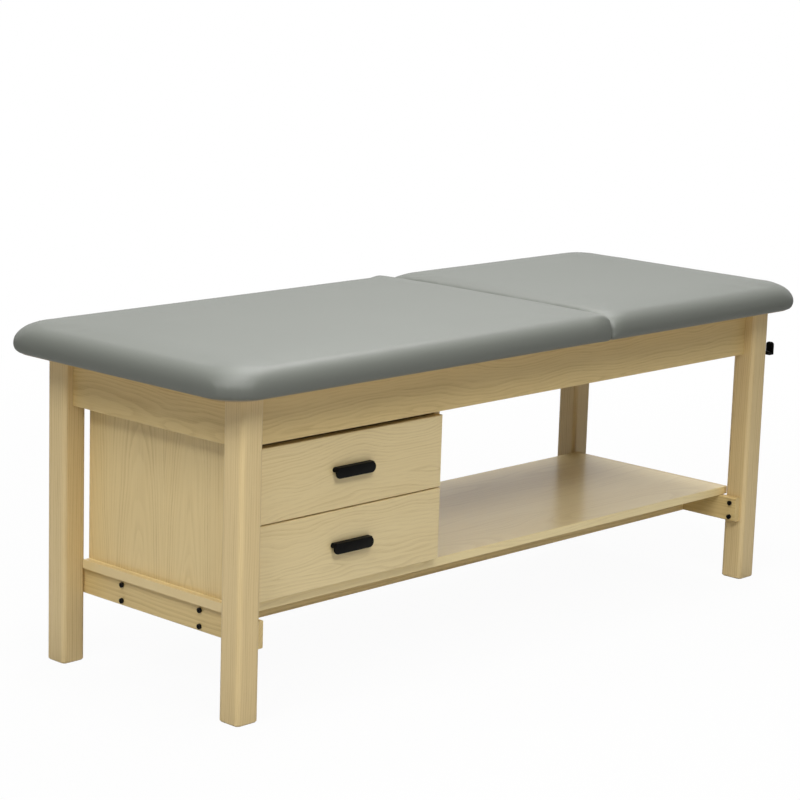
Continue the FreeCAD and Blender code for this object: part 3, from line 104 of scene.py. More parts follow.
class Nodes:
    """The nodes of a material or of the world."""

    def __init__(self, tree):
        self.tree = tree
        self.tree.nodes.clear()

    def feed(self, socket, value):
        if isinstance(value, Reading):
            self.tree.links.new(value.socket, socket)
        else:
            socket.default_value = value

    def node(self, kind, settings=(), inputs=(), take=0):
        """Adds a node. take is the output to read, a tuple of several, or None for the node itself."""
        made = self.tree.nodes.new(kind)
        for name, value in dict(settings).items():
            setattr(made, name, value)
        for name, value in dict(inputs).items():
            self.feed(made.inputs[name], value)
        if take is None:
            return made
        if isinstance(take, tuple):
            return [Reading(self, made.outputs[one]) for one in take]
        return Reading(self, made.outputs[take])

    def maths(self, operation, *values):
        return self.node("ShaderNodeMath", {"operation": operation}, dict(enumerate(values)))

    def place(self):
        """Where a point lies on the piece."""
        return self.node("ShaderNodeTexCoord", take="Object")

    def mapped(self, vector, move=(0, 0, 0), turn=(0, 0, 0), scale=(1, 1, 1)):
        return self.node("ShaderNodeMapping",
                         inputs={"Vector": vector, "Location": move, "Rotation": turn, "Scale": scale})

    def parts(self, vector):
        return self.node("ShaderNodeSeparateXYZ", inputs={0: vector}, take=("X", "Y", "Z"))

    def joined(self, x, y, z):
        return self.node("ShaderNodeCombineXYZ", inputs={0: x, 1: y, 2: z})

    def noise(self, vector, scale=1.0, detail=2.0, roughness=0.5):
        return self.node("ShaderNodeTexNoise", inputs={"Vector": vector, "Scale": scale, "Detail": detail,
                                                       "Roughness": roughness})

    def chance(self, value):
        """A number from 0 to 1 that is each whole value's own."""
        return self.node("ShaderNodeTexWhiteNoise", {"noise_dimensions": "1D"}, {"W": value})

    def smooth(self, value, low, high):
        """Rises softly from 0 at low to 1 at high."""
        return self.node("ShaderNodeMapRange", {"interpolation_type": "SMOOTHSTEP"},
                         {"Value": value, "From Min": low, "From Max": high})

    def mixed(self, share, first, second, blend="MIX"):
        return self.node("ShaderNodeMix", {"data_type": "RGBA", "blend_type": blend},
                         {MIX_SHARE: share, MIX_FIRST: first, MIX_SECOND: second}, MIX_RESULT)

    def bump(self, height, distance, strength):
        return self.node("ShaderNodeBump",
                         inputs={"Height": height, "Distance": distance, "Strength": strength})


class Paint(Nodes):
    """A material and its nodes."""

    def __init__(self, name):
        self.material = bpy.data.materials.new(name)
        self.material.use_nodes = True
        super().__init__(self.material.node_tree)
        self.shader = self.node("ShaderNodeBsdfPrincipled", take=None)
        self.surface = self.node("ShaderNodeOutputMaterial", take=None).inputs["Surface"]
        self.feed(self.surface, self.shaded())

    def shaded(self):
        return Reading(self, self.shader.outputs["BSDF"])

    def finish(self, **sockets):
        """Feeds the shader's sockets, named with _ for a space."""
        for name, value in sockets.items():
            self.feed(self.shader.inputs[name.replace("_", " ")], value)
        return self.material


def scaled(tone, *shares):
    """A tone with its red, green and blue times one share, or each times its own."""
    shares = shares if len(shares) > 1 else shares * 3
    return [level * share for level, share in zip(tone[:3], shares)] + [1]


# Woods

OAK_PALE = [0.745, 0.57, 0.262, 1]
OAK_DARK = [0.45, 0.295, 0.105, 1]
LEG_PALE = [0.755, 0.59, 0.31, 1]
CABINET_PALE = [0.815, 0.643, 0.33, 1]
CABINET_DARK = [0.54, 0.38, 0.155, 1]
FRONT_PALE = [0.835, 0.68, 0.375, 1]
SHELF_PALE = [0.96, 0.80, 0.44, 1]
SHELF_DARK = [0.76, 0.59, 0.30, 1]
BIRCH_PALE = [0.74, 0.60, 0.42, 1]
BIRCH_DARK = [0.56, 0.42, 0.26, 1]
SAP_TINT = [0.94, 0.90, 0.82, 1]
GLUED_PLY = [0.35, 0.23, 0.12, 1]

# Turns, in radians, that bring the grain of a board along X, Y or Z to X
TURNS = {"X": (0, 0, 0), "Y": (0, 0, math.radians(-90)), "Z": (0, math.radians(90), 0)}

# Changes per metre along the grain, across it and into the board
BEND_SCALE = (1.7, 4.0, 4.0)
EYE_SCALE = (4.5, 10.0, 10.0)
RAGGED_SCALE = (7.0, 55.0, 55.0)
STREAK_SCALE = (9.0, 330.0, 330.0)
PORE_SCALE = (45.0, 1600.0, 1600.0)
TONE_SCALE = (1.3, 7.0, 7.0)
YEAR_SCALE = 45.0

# Steps in the noise: from one seed to the next, from a bend to a drift, and from one glued board to the next
BEND_SEED = (1.0, 0.7, 0.3)
DRIFT_STEP = (7.3, 3.1, 5.7)
EYE_SEED = 1.3
EYE_STEP = 2.0
BOARD_SLIP = 0.5
BOARD_STEP = 9.0
BOARD_DEPTH_STEP = 4.0

# How far the year lines sink compared with their wave, and how ragged and uneven they are in years
SINK = 3.0
RAGGED_YEARS = 0.55
UNEVEN_YEARS = 2.2

WOOD_GRAIN = 0.0001
WOOD_GRAIN_STRENGTH = 0.5
WOOD_MATTING = 0.12

# The looks of the woods: tones, the pith's place beside and below the board, the width of a year, and how the
# years wave, swirl and lean; board is the width of the boards that a panel is glued from
LOOKS = {
    "leg": dict(pale=LEG_PALE, pith=(0.14, 0.10), spacing=0.0042, wave=0.006, lean=0.01, contrast=0.32),
    "apron": dict(pith=(0.012, 0.045), spacing=0.0078, wave=0.026, swirl=0.05, lean=0.01, contrast=0.3),
    "stretcher": dict(pith=(0.09, 0.06), spacing=0.0045, wave=0.01, contrast=0.4),
    "shelf": dict(pale=SHELF_PALE, dark=SHELF_DARK, pith=(0.03, 0.06), spacing=0.008, wave=0.03,
                  contrast=0.25, board=0.126, gloss=0.45, coat_rough=0.2, rough=0.5, lip=0.85),
    "shelf_rail": dict(pith=(0.02, 0.08), spacing=0.005, wave=0.01, contrast=0.4),
    "cabinet": dict(pale=CABINET_PALE, dark=CABINET_DARK, pith=(0.0, 0.035), spacing=0.0076, wave=0.014,
                    swirl=0.018, lean=0.09, contrast=0.34, board=0.172),
    "front": dict(pale=FRONT_PALE, dark=CABINET_DARK, pith=(0.01, 0.05), spacing=0.0088, wave=0.028,
                  swirl=0.06, lean=0.02, contrast=0.27),
    "birch": dict(pale=BIRCH_PALE, dark=BIRCH_DARK, contrast=0.4),
}

# The cross strip at the shelf's ends, and how far its pale tone is painted darker towards the dark wood:
# painted shade that tones down the top light on the strip
LIP_LOOK = dict(pith=(0.10, 0.05), spacing=0.004, wave=0.004, seed=12.5, contrast=0.35)
LIP_PAINTED_SHADE = 0.8

SHELF_SEED = 4.4
SHELF_RAIL_SEED = 8.8


def drawer_boards(level):
    return ((5.3, "front", ((level + "_drawer_front", "X"),)),
            (1.3, "birch", ((level + "_drawer_side_foot", "Y"), (level + "_drawer_side_head", "Y"),
                            (level + "_drawer_back", "X"), (level + "_drawer_bottom", "X"))))


# Step of the seed from one board to the next, their look, and each board's node and grain
BOARDS = ((3.7, "leg", (("leg_foot_front", "Z"), ("leg_foot_rear", "Z"),
                        ("leg_head_front", "Z"), ("leg_head_rear", "Z"))),
          (2.9, "apron", (("apron_front", "X"), ("apron_rear", "X"),
                          ("apron_foot", "Y"), ("apron_head", "Y"))),
          (1.9, "stretcher", (("stretcher_foot", "Y"), ("stretcher_head", "Y"))),
          (4.1, "cabinet", (("cabinet_side_foot", "Z"), ("cabinet_side_head", "Z"), ("cabinet_back", "Z"))),
          *drawer_boards("upper"),
          *drawer_boards("lower"),
          (2.3, "birch", (("split_rail", "Y"), ("deck_rail", "Y"), ("pawl_rail", "Y"), ("corner_blocks", "Y"),
                          ("cabinet_bottom", "X"), ("cabinet_top", "X"), ("cabinet_dowels", "X"))))


def boards_apart(paint, point, board, seed):
    """Gives each board that a panel is glued from its own part of the figure."""
    along, across, deep = paint.parts(point)
    number = paint.maths("FLOOR", across / board)
    across = across - (number + 0.5) * board
    own = paint.chance(number + seed)
    along = along + (own - 0.5) * BOARD_SLIP
    return along, across, deep, paint.joined(along + own * BOARD_STEP, across, deep + own * BOARD_DEPTH_STEP)


def growth(paint, point, pith, spacing, wave, swirl, lean, seed, board):
    """Year lines of flat-sawn boards that run along X: how dark they are, and the fibres between them."""
    along, across, deep = paint.parts(point)
    if board:
        along, across, deep, point = boards_apart(paint, point, board, seed)
    bends = paint.mapped(point, move=[seed * share for share in BEND_SEED], scale=BEND_SCALE)
    sink = paint.noise(bends, detail=1.0) - 0.5
    drift = paint.noise(paint.mapped(bends, move=DRIFT_STEP), detail=1.0) - 0.5
    side = across + pith[0] + drift * wave
    depth = deep + pith[1] + along * lean + sink * wave * SINK
    eyed = paint.mapped(point, move=(seed * EYE_SEED, EYE_STEP, seed), scale=EYE_SCALE)
    eyes = paint.noise(eyed, detail=1.5) - 0.5
    radius = paint.maths("SQRT", side * side + depth * depth) + eyes * swirl
    ragged = paint.noise(paint.mapped(point, scale=RAGGED_SCALE), detail=3.0) - 0.5
    uneven = paint.noise(paint.joined(radius, seed, 0.0), scale=YEAR_SCALE, detail=1.0) - 0.5
    years = radius / spacing + ragged * RAGGED_YEARS + uneven * UNEVEN_YEARS
    part = paint.maths("FRACT", years)
    late = paint.smooth(part, low=0.0, high=0.14) * (1 - paint.smooth(part, low=0.16, high=0.9))
    own_year = paint.chance(paint.maths("FLOOR", years) + seed)
    streaks = paint.noise(paint.mapped(point, scale=STREAK_SCALE), detail=3.0, roughness=0.6)
    return late * (own_year * 0.75 + 0.35) * (streaks * 1.1 + 0.4), streaks


def figure(paint, point, pith=(0.0, 0.06), spacing=0.006, wave=0.012, swirl=0.004, lean=0.0, seed=0.0,
           contrast=0.6, board=None):
    """How dark the wood is, from 0 to 1 or a little past them, and how high its fibres stand."""
    late, streaks = growth(paint, point, pith, spacing, wave, swirl, lean, seed, board)
    pores = paint.smooth(paint.noise(paint.mapped(point, scale=PORE_SCALE), detail=1.0), low=0.62, high=0.74)
    share = late * contrast + (streaks - 0.5) * 0.5 + pores * (late * 0.35 + 0.05)
    return share, streaks * 0.5 - pores * (late * 0.5 + 0.1)


def wood(name, grain, centre, pale=OAK_PALE, dark=OAK_DARK, rough=0.42, gloss=0.1, coat_rough=0.3, lip=None,
         seed=0.0, **how):
    """Lacquered solid wood. grain names its long axis, lip where a cross strip starts from the middle."""
    paint = Paint(name)
    point = paint.mapped(paint.place(), move=[-c for c in centre])
    turned = paint.mapped(point, turn=TURNS[grain])
    share, height = figure(paint, turned, seed=seed, **how)
    if lip:
        lip_share, lip_height = figure(paint, paint.mapped(point, turn=TURNS["Y"]), **LIP_LOOK)
        end = paint.maths("GREATER_THAN", paint.maths("ABSOLUTE", paint.parts(point)[0]), lip)
        share = share * (1 - end) + lip_share * end
        height = height * (1 - end) + lip_height * end
        # Painted shade: the cross strip's pale tone is darkened towards the dark wood
        pale = paint.mixed(end * LIP_PAINTED_SHADE, pale, dark)
    share = paint.maths("MAXIMUM", paint.maths("MINIMUM", share, 1.0), 0.0)
    tone = paint.noise(paint.mapped(turned, move=(seed, 0, 0), scale=TONE_SCALE), detail=2.0)
    base = paint.mixed(share, pale, dark)
    base = paint.mixed(paint.smooth(tone, low=0.25, high=0.75) * 0.5, base, SAP_TINT, "MULTIPLY")
    return paint.finish(Base_Color=base, Roughness=rough + share * WOOD_MATTING,
                        Normal=paint.bump(height, distance=WOOD_GRAIN, strength=WOOD_GRAIN_STRENGTH),
                        Coat_Weight=gloss, Coat_Roughness=coat_rough)


def dress(node, material):
    """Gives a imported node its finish."""
    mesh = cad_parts[node].data
    mesh.materials.clear()
    mesh.materials.append(material)


def dress_board(node, grain, look, seed):
    low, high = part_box(node)
    dress(node, wood(node + "_wood", grain, tuple((low + high) / 2), seed=seed, **LOOKS[look]))


def dress_all_wood():
    seed = 0.0
    for step, look, boards in BOARDS:
        for node, grain in boards:
            seed += step
            dress_board(node, grain, look, seed)
    dress_board("shelf", "X", "shelf", SHELF_SEED)
    dress_board("shelf_rails", "X", "shelf_rail", SHELF_RAIL_SEED)


PLY_SCALE = (5.0, 260.0, 260.0)
PLY_PAIR = 0.006


def plywood(name):
    """Birch plywood: pale faces, and every second ply darker on the edge."""
    paint = Paint(name)
    point = paint.place()
    grain = paint.noise(paint.mapped(point, scale=PLY_SCALE), detail=3.0, roughness=0.6)
    height = paint.parts(point)[2]
    dark_ply = paint.smooth(paint.maths("FRACT", height / PLY_PAIR), low=0.45, high=0.55)
    face = paint.mixed(grain, BIRCH_PALE, BIRCH_DARK)
    return paint.finish(Base_Color=paint.mixed(dark_ply * 0.45, face, GLUED_PLY),
                        Roughness=0.55 + grain * 0.15,
                        Normal=paint.bump(grain, distance=WOOD_GRAIN, strength=WOOD_GRAIN_STRENGTH))


# Metals

ZINC_DULL = [0.55, 0.56, 0.57, 1]
ZINC_BRIGHT = [0.70, 0.70, 0.69, 1]
COATING_DARK = [0.045, 0.045, 0.047, 1]
COATING_WORN = [0.075, 0.075, 0.076, 1]
BLACK_HUE = [1.0, 0.97, 0.9, 1]
BLACK_WORN_HUE = [1.6, 1.55, 1.4, 1]
DRAWN_SCALE = (20.0, 900.0, 900.0)

PLATED_NODES = ("hanger_bolts", "fixing_screws", "foot_deck_screws", "head_deck_screws", "hinge_screws_foot",
                "hinge_pins", "hinge_leaves_foot", "hinge_leaves_head", "pawl_pin", "pull_rod",
                "upper_pull_screws", "lower_pull_screws", "cabinet_runners", "upper_drawer_runners",
                "lower_drawer_runners")
COATED_NODES = ("quadrant", "pawl", "pawl_bracket", "release_brackets", "release_spring")


def black_finish(name, tone, rough, gleam):
    """Black coating with a fine orange peel; gleam is its specular level."""
    paint = Paint(name)
    peel = paint.noise(paint.place(), scale=900.0)
    wear = paint.noise(paint.place(), scale=60.0, detail=3.0)
    base = paint.mixed(paint.smooth(wear, low=0.45, high=0.8), scaled(BLACK_HUE, tone),
                       scaled(BLACK_WORN_HUE, tone))
    return paint.finish(Base_Color=base, Roughness=rough + (wear - 0.5) * 0.2,
                        Normal=paint.bump(peel, distance=0.00003, strength=0.5), Specular_IOR_Level=gleam)


def zinc(name):
    """Zinc-plated steel with a faint drawn grain and spangle."""
    paint = Paint(name)
    drawn = paint.noise(paint.mapped(paint.place(), scale=DRAWN_SCALE))
    spangle = paint.noise(paint.place(), scale=70.0, detail=3.0)
    return paint.finish(Base_Color=paint.mixed(spangle, ZINC_DULL, ZINC_BRIGHT), Metallic=1.0,
                        Roughness=0.30 + drawn * 0.16,
                        Normal=paint.bump(drawn, distance=0.00004, strength=0.4))


def coated_steel(name):
    """Steel with a dull grey-black coating."""
    paint = Paint(name)
    grit = paint.noise(paint.place(), scale=500.0, detail=3.0)
    cloud = paint.noise(paint.place(), scale=25.0)
    return paint.finish(Base_Color=paint.mixed(cloud, COATING_DARK, COATING_WORN), Metallic=0.35,
                        Roughness=0.42 + grit * 0.15,
                        Normal=paint.bump(grit, distance=0.00004, strength=0.5))


def dress_metals():
    black = black_finish("satin_black", tone=0.0035, rough=0.45, gleam=0.08)
    dress("release_lever", black)
    make_pulls(black)
    dress("frame_bolts", black_finish("black_oxide", tone=0.005, rough=0.45, gleam=0.12))
    plated = zinc("zinc_plate")
    for node in PLATED_NODES:
        dress(node, plated)
    coated = coated_steel("coated_steel")
    for node in COATED_NODES:
        dress(node, coated)


# Drawer pulls

PLATE_THICKNESS = 0.005
PULL_EDGE = 0.0012
PULL_EDGE_STEPS = 3
PULL_ROUND_STEPS = 32
PULL_SHARPEST = 35
NECK_HEIGHT = 0.0115
NECK_SHORTER = 0.0003


def only(piece):
    bpy.ops.object.select_all(action="DESELECT")
    piece.select_set(True)
    bpy.context.view_layer.objects.active = piece


def round_ended_bar(name, x0, x1, z, height, y0, y1):
    """A bar along X with its front edge rounded: a cylinder whose one half is drawn out in edit mode."""
    bpy.ops.object.select_all(action="DESELECT")
    middle = x0 + height / 2
    bpy.ops.mesh.primitive_cylinder_add(vertices=PULL_ROUND_STEPS, radius=height / 2, depth=y1 - y0,
                                        location=(middle, (y0 + y1) / 2, z), rotation=(math.pi / 2, 0, 0))
    piece = bpy.context.object
    piece.name = name
    bpy.ops.object.transform_apply(location=True, rotation=True, scale=True)
    bpy.ops.object.mode_set(mode="EDIT")
    mesh = bmesh.from_edit_mesh(piece.data)
    for vertex in mesh.verts:
        vertex.select_set(vertex.co.x > middle - NEAR)
    mesh.select_flush(True)
    bmesh.update_edit_mesh(piece.data)
    bpy.ops.transform.translate(value=(x1 - x0 - height, 0, 0))
    bpy.ops.mesh.select_all(action="DESELECT")
    mesh = bmesh.from_edit_mesh(piece.data)
    for edge in mesh.edges:
        edge.select_set(all(vertex.co.y < y0 + NEAR for vertex in edge.verts))
    bmesh.update_edit_mesh(piece.data)
    bpy.ops.mesh.bevel(offset=PULL_EDGE, segments=PULL_EDGE_STEPS)
    bpy.ops.object.mode_set(mode="OBJECT")
    bpy.ops.object.shade_smooth_by_angle(angle=math.radians(PULL_SHARPEST))
    return piece


def make_pulls(finish):
    """Each pull is a round-ended plate on a neck that is nearly as long and flush with its top."""
    for level in ("upper", "lower"):
        node = level + "_pull"
        low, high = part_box(node)
        middle = (low.z + high.z) / 2
        back = low.y + PLATE_THICKNESS
        plate = round_ended_bar(level + "_pull_plate", low.x, high.x, middle, high.z - low.z, low.y, back)
        neck = round_ended_bar(level + "_pull_neck", low.x + NECK_SHORTER, high.x - NECK_SHORTER,
                               high.z - NECK_HEIGHT / 2, NECK_HEIGHT, back - PULL_EDGE, high.y)
        for piece in (plate, neck):
            piece.data.materials.clear()
            piece.data.materials.append(finish)
            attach(piece, level + "_drawer")
        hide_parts(node)


# Padded top

VINYL = [0.133, 0.141, 0.123, 1]
HIDE_CELLS = 900.0
HIDE_DEPTH = 0.00006

# Each section's cushion, node, end and body; the end is -1 at the foot and 1 at the head
PADS = (("foot_cushion", "foot_pad", -1, "root"),
        ("head_cushion", "head_pad", 1, "head_section"))

# Outer corners: their radius, and how it grows as the cover draws in over the top
CORNER = 0.087
CORNER_GROWTH = 0.6

# Edge: how far it draws in below its widest height, and the width of the roll above it
BELLY = 0.009
WIDEST = 0.019
ROUND_WIDTH = 0.038
BELLY_STEPS = 6
ROUND_STEPS = 12

CROWN = 0.004
CROWN_WIDTH = 0.24
CROWN_SHARES = (0.1, 0.2, 0.35, 0.5, 0.75, 1.0)

# Roll of each section's end at the split: its drop, its reach, and the corner's radius low and high
SPLIT_ROLLS = {-1: (0.009, 0.016, 0.004, 0.014), 1: (0.018, 0.044, 0.006, 0.086)}
SPLIT_OPENING = 1.5

# Points of a level row round the form: on each corner, and along each side
CORNER_POINTS = 16
SIDE_POINTS = 40

# The cover before it swells: how much smaller it is, and the size of its cells
SKIN = 0.0022
VOXEL = 0.010

# Swelling of the cover over the foam, with the underside held
HELD_HEIGHT = 0.003
SWELL_LIMIT = 0.003
SWELL_FRAMES = 20
SWELL_PRESSURE = 4
COVER_MASS = 0.4
COVER_STRETCH = 25
COVER_BEND = 4
COVER_QUALITY = 5
SMOOTHINGS = 4

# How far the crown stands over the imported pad, and the underside over that of the deck in it
CROWN_RISE = 0.0008
UNDERSIDE_LIFT = 0.0012

# Squared shoulder of the foot section at the split: how full, how long, and how far in from the side
SHOULDER = 0.55
SHOULDER_LENGTH = 0.07
SHOULDER_DEPTH = 0.06

# Upright corners at the split: how tight they are drawn, over what length and depth, and below which roll
TIGHTNESS = 0.6
TIGHT_LENGTH = 0.03
TIGHT_DEPTH = 0.045
TIGHT_FULL_DEPTH = 0.025
TIGHT_EASE = 0.008
TOP_ROLL = 0.012

# Hollows for the hinges' knuckles, each fading out from its full size to a larger one
HINGE_PLACES = (-0.23, 0.0, 0.23)
HINGE_HOLLOW = 0.0018
HINGE_HALF_WIDTHS = (0.036, 0.041)
HINGE_REACHES = (0.006, 0.018)
HINGE_HALF_HEIGHTS = (0.0084, 0.0154)
HINGE_BELOW_TOP = 0.016

# Gathers under the outer corners: how many on a corner, how deep, and how fast they fade upwards
PLEATS = 9
PLEAT_DEPTH = 0.0009
PLEAT_FADE = 1.5


def vinyl(name):
    """Soft upholstery vinyl with a fine hide grain, and painted shade in the grain's grooves."""
    paint = Paint(name)
    point = paint.place()
    cells = paint.node("ShaderNodeTexVoronoi", {"feature": "DISTANCE_TO_EDGE"},
                       {"Vector": point, "Scale": HIDE_CELLS})
    raised = paint.smooth(cells, low=0.0, high=0.18)
    cloud = paint.noise(point, scale=5.0)
    fine = paint.noise(point, scale=1600.0)
    base = paint.mixed(cloud, scaled(VINYL, 0.97), scaled(VINYL, 1.03))
    # Painted shade: the grooves between the hide's raised cells are darkened
    base = paint.mixed((1 - raised) * 0.12, base, scaled(VINYL, 0.7))
    return paint.finish(Base_Color=base, Roughness=0.5 + (fine - 0.5) * 0.12 + (1 - raised) * 0.06,
                        Normal=paint.bump(raised * 0.7 + fine * 0.3, distance=HIDE_DEPTH, strength=0.35),
                        Specular_IOR_Level=0.48)


def rounded_rectangle(x0, x1, half, radius0, radius1):
    """Points round a level rectangle; radius0 is for the corners at x0."""
    bends = []
    corners = ((x1, 1, radius1, 0), (x0, 1, radius0, 90), (x0, -1, radius0, 180), (x1, -1, radius1, 270))
    for x, hand, radius, begin in corners:
        centre = Vector((x - radius if x == x1 else x + radius, hand * (half - radius)))
        bend = []
        for step in range(CORNER_POINTS + 1):
            angle = math.radians(begin + 90 * step / CORNER_POINTS)
            bend.append(centre + radius * Vector((math.cos(angle), math.sin(angle))))
        bends.append(bend)
    full = []
    for bend, following in zip(bends, bends[1:] + bends[:1]):
        full += bend
        full += [bend[-1].lerp(following[0], step / SIDE_POINTS) for step in range(1, SIDE_POINTS)]
    return full


def pad_rows(thickness):
    """Height and draw-in of the outer edges, from the underside to the crown."""
    rows = []
    for step in range(BELLY_STEPS):
        angle = math.pi / 2 * step / BELLY_STEPS
        rows.append((WIDEST * (1 - math.cos(angle)), BELLY * (1 - math.sin(angle))))
    for step in range(ROUND_STEPS + 1):
        angle = math.pi / 2 * step / ROUND_STEPS
        height = WIDEST + (thickness - WIDEST) * math.sin(angle)
        rows.append((height, ROUND_WIDTH * (1 - math.cos(angle))))
    for share in CROWN_SHARES:
        rows.append((thickness + CROWN * (1 - (1 - share) ** 2), ROUND_WIDTH + CROWN_WIDTH * share))
    return rows


def pad_ring(low, high, end, height, inset):
    """The points of one row of a section's form."""
    outer, split = (low.x, high.x) if end < 0 else (high.x, low.x)
    full = high.z - low.z
    drop, reach, radius_low, radius_high = SPLIT_ROLLS[end]
    above = min(1.0, max(0.0, (height - full + drop) / drop))
    split_inset = reach * (1 - math.sqrt(1 - above ** 2))
    x0, x1 = sorted((outer - end * (inset + SKIN), split + end * (split_inset + SKIN / 2)))
    opening = min(1.0, max(0.0, (height - WIDEST) / (full - CROWN - WIDEST))) ** SPLIT_OPENING
    split_radius = radius_low + (radius_high - radius_low) * opening
    radius = CORNER + CORNER_GROWTH * inset
    radii = (radius, split_radius) if end < 0 else (split_radius, radius)
    z = low.z + height * (1 - SKIN / full)
    return [(x, y, z) for x, y in rounded_rectangle(x0, x1, high.y - inset - SKIN, *radii)]


def pad_form(name, node, end):
    """The closed form of one section inside its packed box."""
    low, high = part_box(node)
    mesh = bmesh.new()
    rings = [[mesh.verts.new(point) for point in pad_ring(low, high, end, height, inset)]
             for height, inset in pad_rows(high.z - low.z - CROWN)]
    for lower, upper in zip(rings, rings[1:]):
        for index in range(len(lower)):
            after = (index + 1) % len(lower)
            mesh.faces.new((lower[index], lower[after], upper[after], upper[index]))
    mesh.faces.new(rings[-1])
    mesh.faces.new(rings[0][::-1])
    made = bpy.data.meshes.new(name)
    mesh.to_mesh(made)
    mesh.free()
    piece = bpy.data.objects.new(name, made)
    bpy.context.scene.collection.objects.link(piece)
    return piece


def apply_modifier(piece, kind, **settings):
    only(piece)
    added = piece.modifiers.new(kind, kind)
    for name, value in settings.items():
        setattr(added, name, value)
    bpy.ops.object.modifier_apply(modifier=added.name)


def spots_of(piece):
    spots = np.empty(len(piece.data.vertices) * 3)
    piece.data.vertices.foreach_get("co", spots)
    return spots.reshape(-1, 3)


def put_spots(piece, spots):
    piece.data.vertices.foreach_set("co", spots.ravel())
    piece.data.update()


def fading(distance, full, gone):
    """1 up to the distance full, and falling evenly to 0 at the distance gone."""
    return np.clip((gone - distance) / (gone - full), 0, 1)


def swell(piece, floor):
    """Blows the cover up a little from inside, as foam under tight vinyl, with its underside held."""
    held = piece.vertex_groups.new(name="held")
    spots = spots_of(piece)
    underside = np.nonzero(spots[:, 2] < floor + HELD_HEIGHT)[0]
    held.add([int(index) for index in underside], 1.0, "REPLACE")
    cloth = piece.modifiers.new("cover", "CLOTH")
    cloth.settings.quality = COVER_QUALITY
    cloth.settings.mass = COVER_MASS
    cloth.settings.tension_stiffness = COVER_STRETCH
    cloth.settings.compression_stiffness = COVER_STRETCH
    cloth.settings.bending_stiffness = COVER_BEND
    cloth.settings.use_pressure = True
    cloth.settings.uniform_pressure_force = SWELL_PRESSURE
    cloth.settings.vertex_group_mass = held.name
    cloth.settings.effector_weights.gravity = 0
    cloth.point_cache.frame_start = 1
    cloth.point_cache.frame_end = SWELL_FRAMES
    for number in range(1, SWELL_FRAMES + 1):
        bpy.context.scene.frame_set(number)
    only(piece)
    bpy.ops.object.modifier_apply(modifier=cloth.name)
    bpy.context.scene.frame_set(1)
    moved = spots_of(piece) - spots
    length = np.linalg.norm(moved, axis=1, keepdims=True)
    capped = SWELL_LIMIT * np.tanh(length / SWELL_LIMIT)
    put_spots(piece, spots + moved * capped / np.maximum(length, TINY))


def square_shoulder(spots, split, half):
    """Fills out the roll along the sides towards the split, where the cover is drawn tight."""
    x, y = spots[:, 0], spots[:, 1]
    near = fading(split - x, 0, SHOULDER_LENGTH)
    out = fading(half - np.abs(y), SHOULDER_DEPTH / 2, SHOULDER_DEPTH)
    share = SHOULDER * near * near * (3 - 2 * near) * out
    spots[:, 1] += np.sign(y) * share * (half - np.abs(y))


def tighten_corners(spots, split, half, top):
    """Draws the upright corners at the split tight below the height top, so that the gap stays narrow."""
    back = split - spots[:, 0]
    near = np.sqrt(fading(np.abs(back), 0, TIGHT_LENGTH))
    out = fading(half - np.abs(spots[:, 1]), TIGHT_FULL_DEPTH, TIGHT_DEPTH)
    below = fading(spots[:, 2] - top, -TIGHT_EASE, 0)
    spots[:, 0] += back * TIGHTNESS * near * out * below


def make_room_for_hinges(spots, split, top, end):
    """Shallow hollows in the face at the split, where the knuckles of the hinges lie."""
    close = fading(np.abs(spots[:, 0] - split), *HINGE_REACHES)
    level = fading(np.abs(spots[:, 2] - top + HINGE_BELOW_TOP), *HINGE_HALF_HEIGHTS)
    for place in HINGE_PLACES:
        along = fading(np.abs(spots[:, 1] - place), *HINGE_HALF_WIDTHS)
        spots[:, 0] += end * HINGE_HOLLOW * close * level * along


def fit_to_deck(piece, node, end):
    """Brings the swollen cushion back to its size and finishes its face at the split."""
    low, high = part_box(node)
    spots = spots_of(piece)
    least, most = spots.min(axis=0), spots.max(axis=0)
    goal_low = np.array([low.x, low.y, low.z + UNDERSIDE_LIFT])
    goal_high = np.array([high.x, high.y, high.z + CROWN_RISE])
    spots = goal_low + (spots - least) / (most - least) * (goal_high - goal_low)
    if end < 0:
        split, top = high.x, high.z - TOP_ROLL
        square_shoulder(spots, split, high.y)
    else:
        split, top = low.x, low.z + WIDEST
    tighten_corners(spots, split, high.y, top)
    make_room_for_hinges(spots, split, high.z, end)
    put_spots(piece, spots)


def pleat(piece, node, end):
    """Small gathers where the cover is folded under at the outer corners."""
    low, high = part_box(node)
    spots = spots_of(piece)
    outer = low.x if end < 0 else high.x
    for hand in (-1, 1):
        centre = np.array([outer - end * CORNER, hand * (high.y - CORNER)])
        away = spots[:, :2] - centre
        outside = (away[:, 0] * end > 0) & (away[:, 1] * hand > 0)
        angle = np.arctan2(away[:, 1] * hand, away[:, 0] * end)
        low_down = fading(spots[:, 2] - low.z, 0, WIDEST) ** PLEAT_FADE
        on_corner = np.sin(2 * np.clip(angle, 0, np.pi / 2)) * outside
        wave = np.sin(angle * 4 * PLEATS) * PLEAT_DEPTH * low_down * on_corner
        length = np.maximum(np.linalg.norm(away, axis=1, keepdims=True), TINY)
        spots[:, :2] += away / length * wave[:, None]
    put_spots(piece, spots)


def make_pads():
    cover = vinyl("grey_vinyl")
    for name, node, end, body in PADS:
        piece = pad_form(name, node, end)
        apply_modifier(piece, "REMESH", mode="VOXEL", voxel_size=VOXEL, use_smooth_shade=True)
        swell(piece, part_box(node)[0].z)
        apply_modifier(piece, "CORRECTIVE_SMOOTH", factor=0.5, iterations=SMOOTHINGS, use_only_smooth=True)
        apply_modifier(piece, "SUBSURF", levels=1, render_levels=1)
        fit_to_deck(piece, node, end)
        pleat(piece, node, end)
        only(piece)
        bpy.ops.object.shade_smooth()
        piece.data.materials.append(cover)
        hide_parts(node)
        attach(piece, body)


def dress_decks():
    ply = plywood("birch_plywood")
    for node in ("foot_deck", "head_deck"):
        dress(node, ply)


# Floor and room

FLOOR_SIZE = 60
FLOOR_TONE = [0.55, 0.55, 0.539, 1]

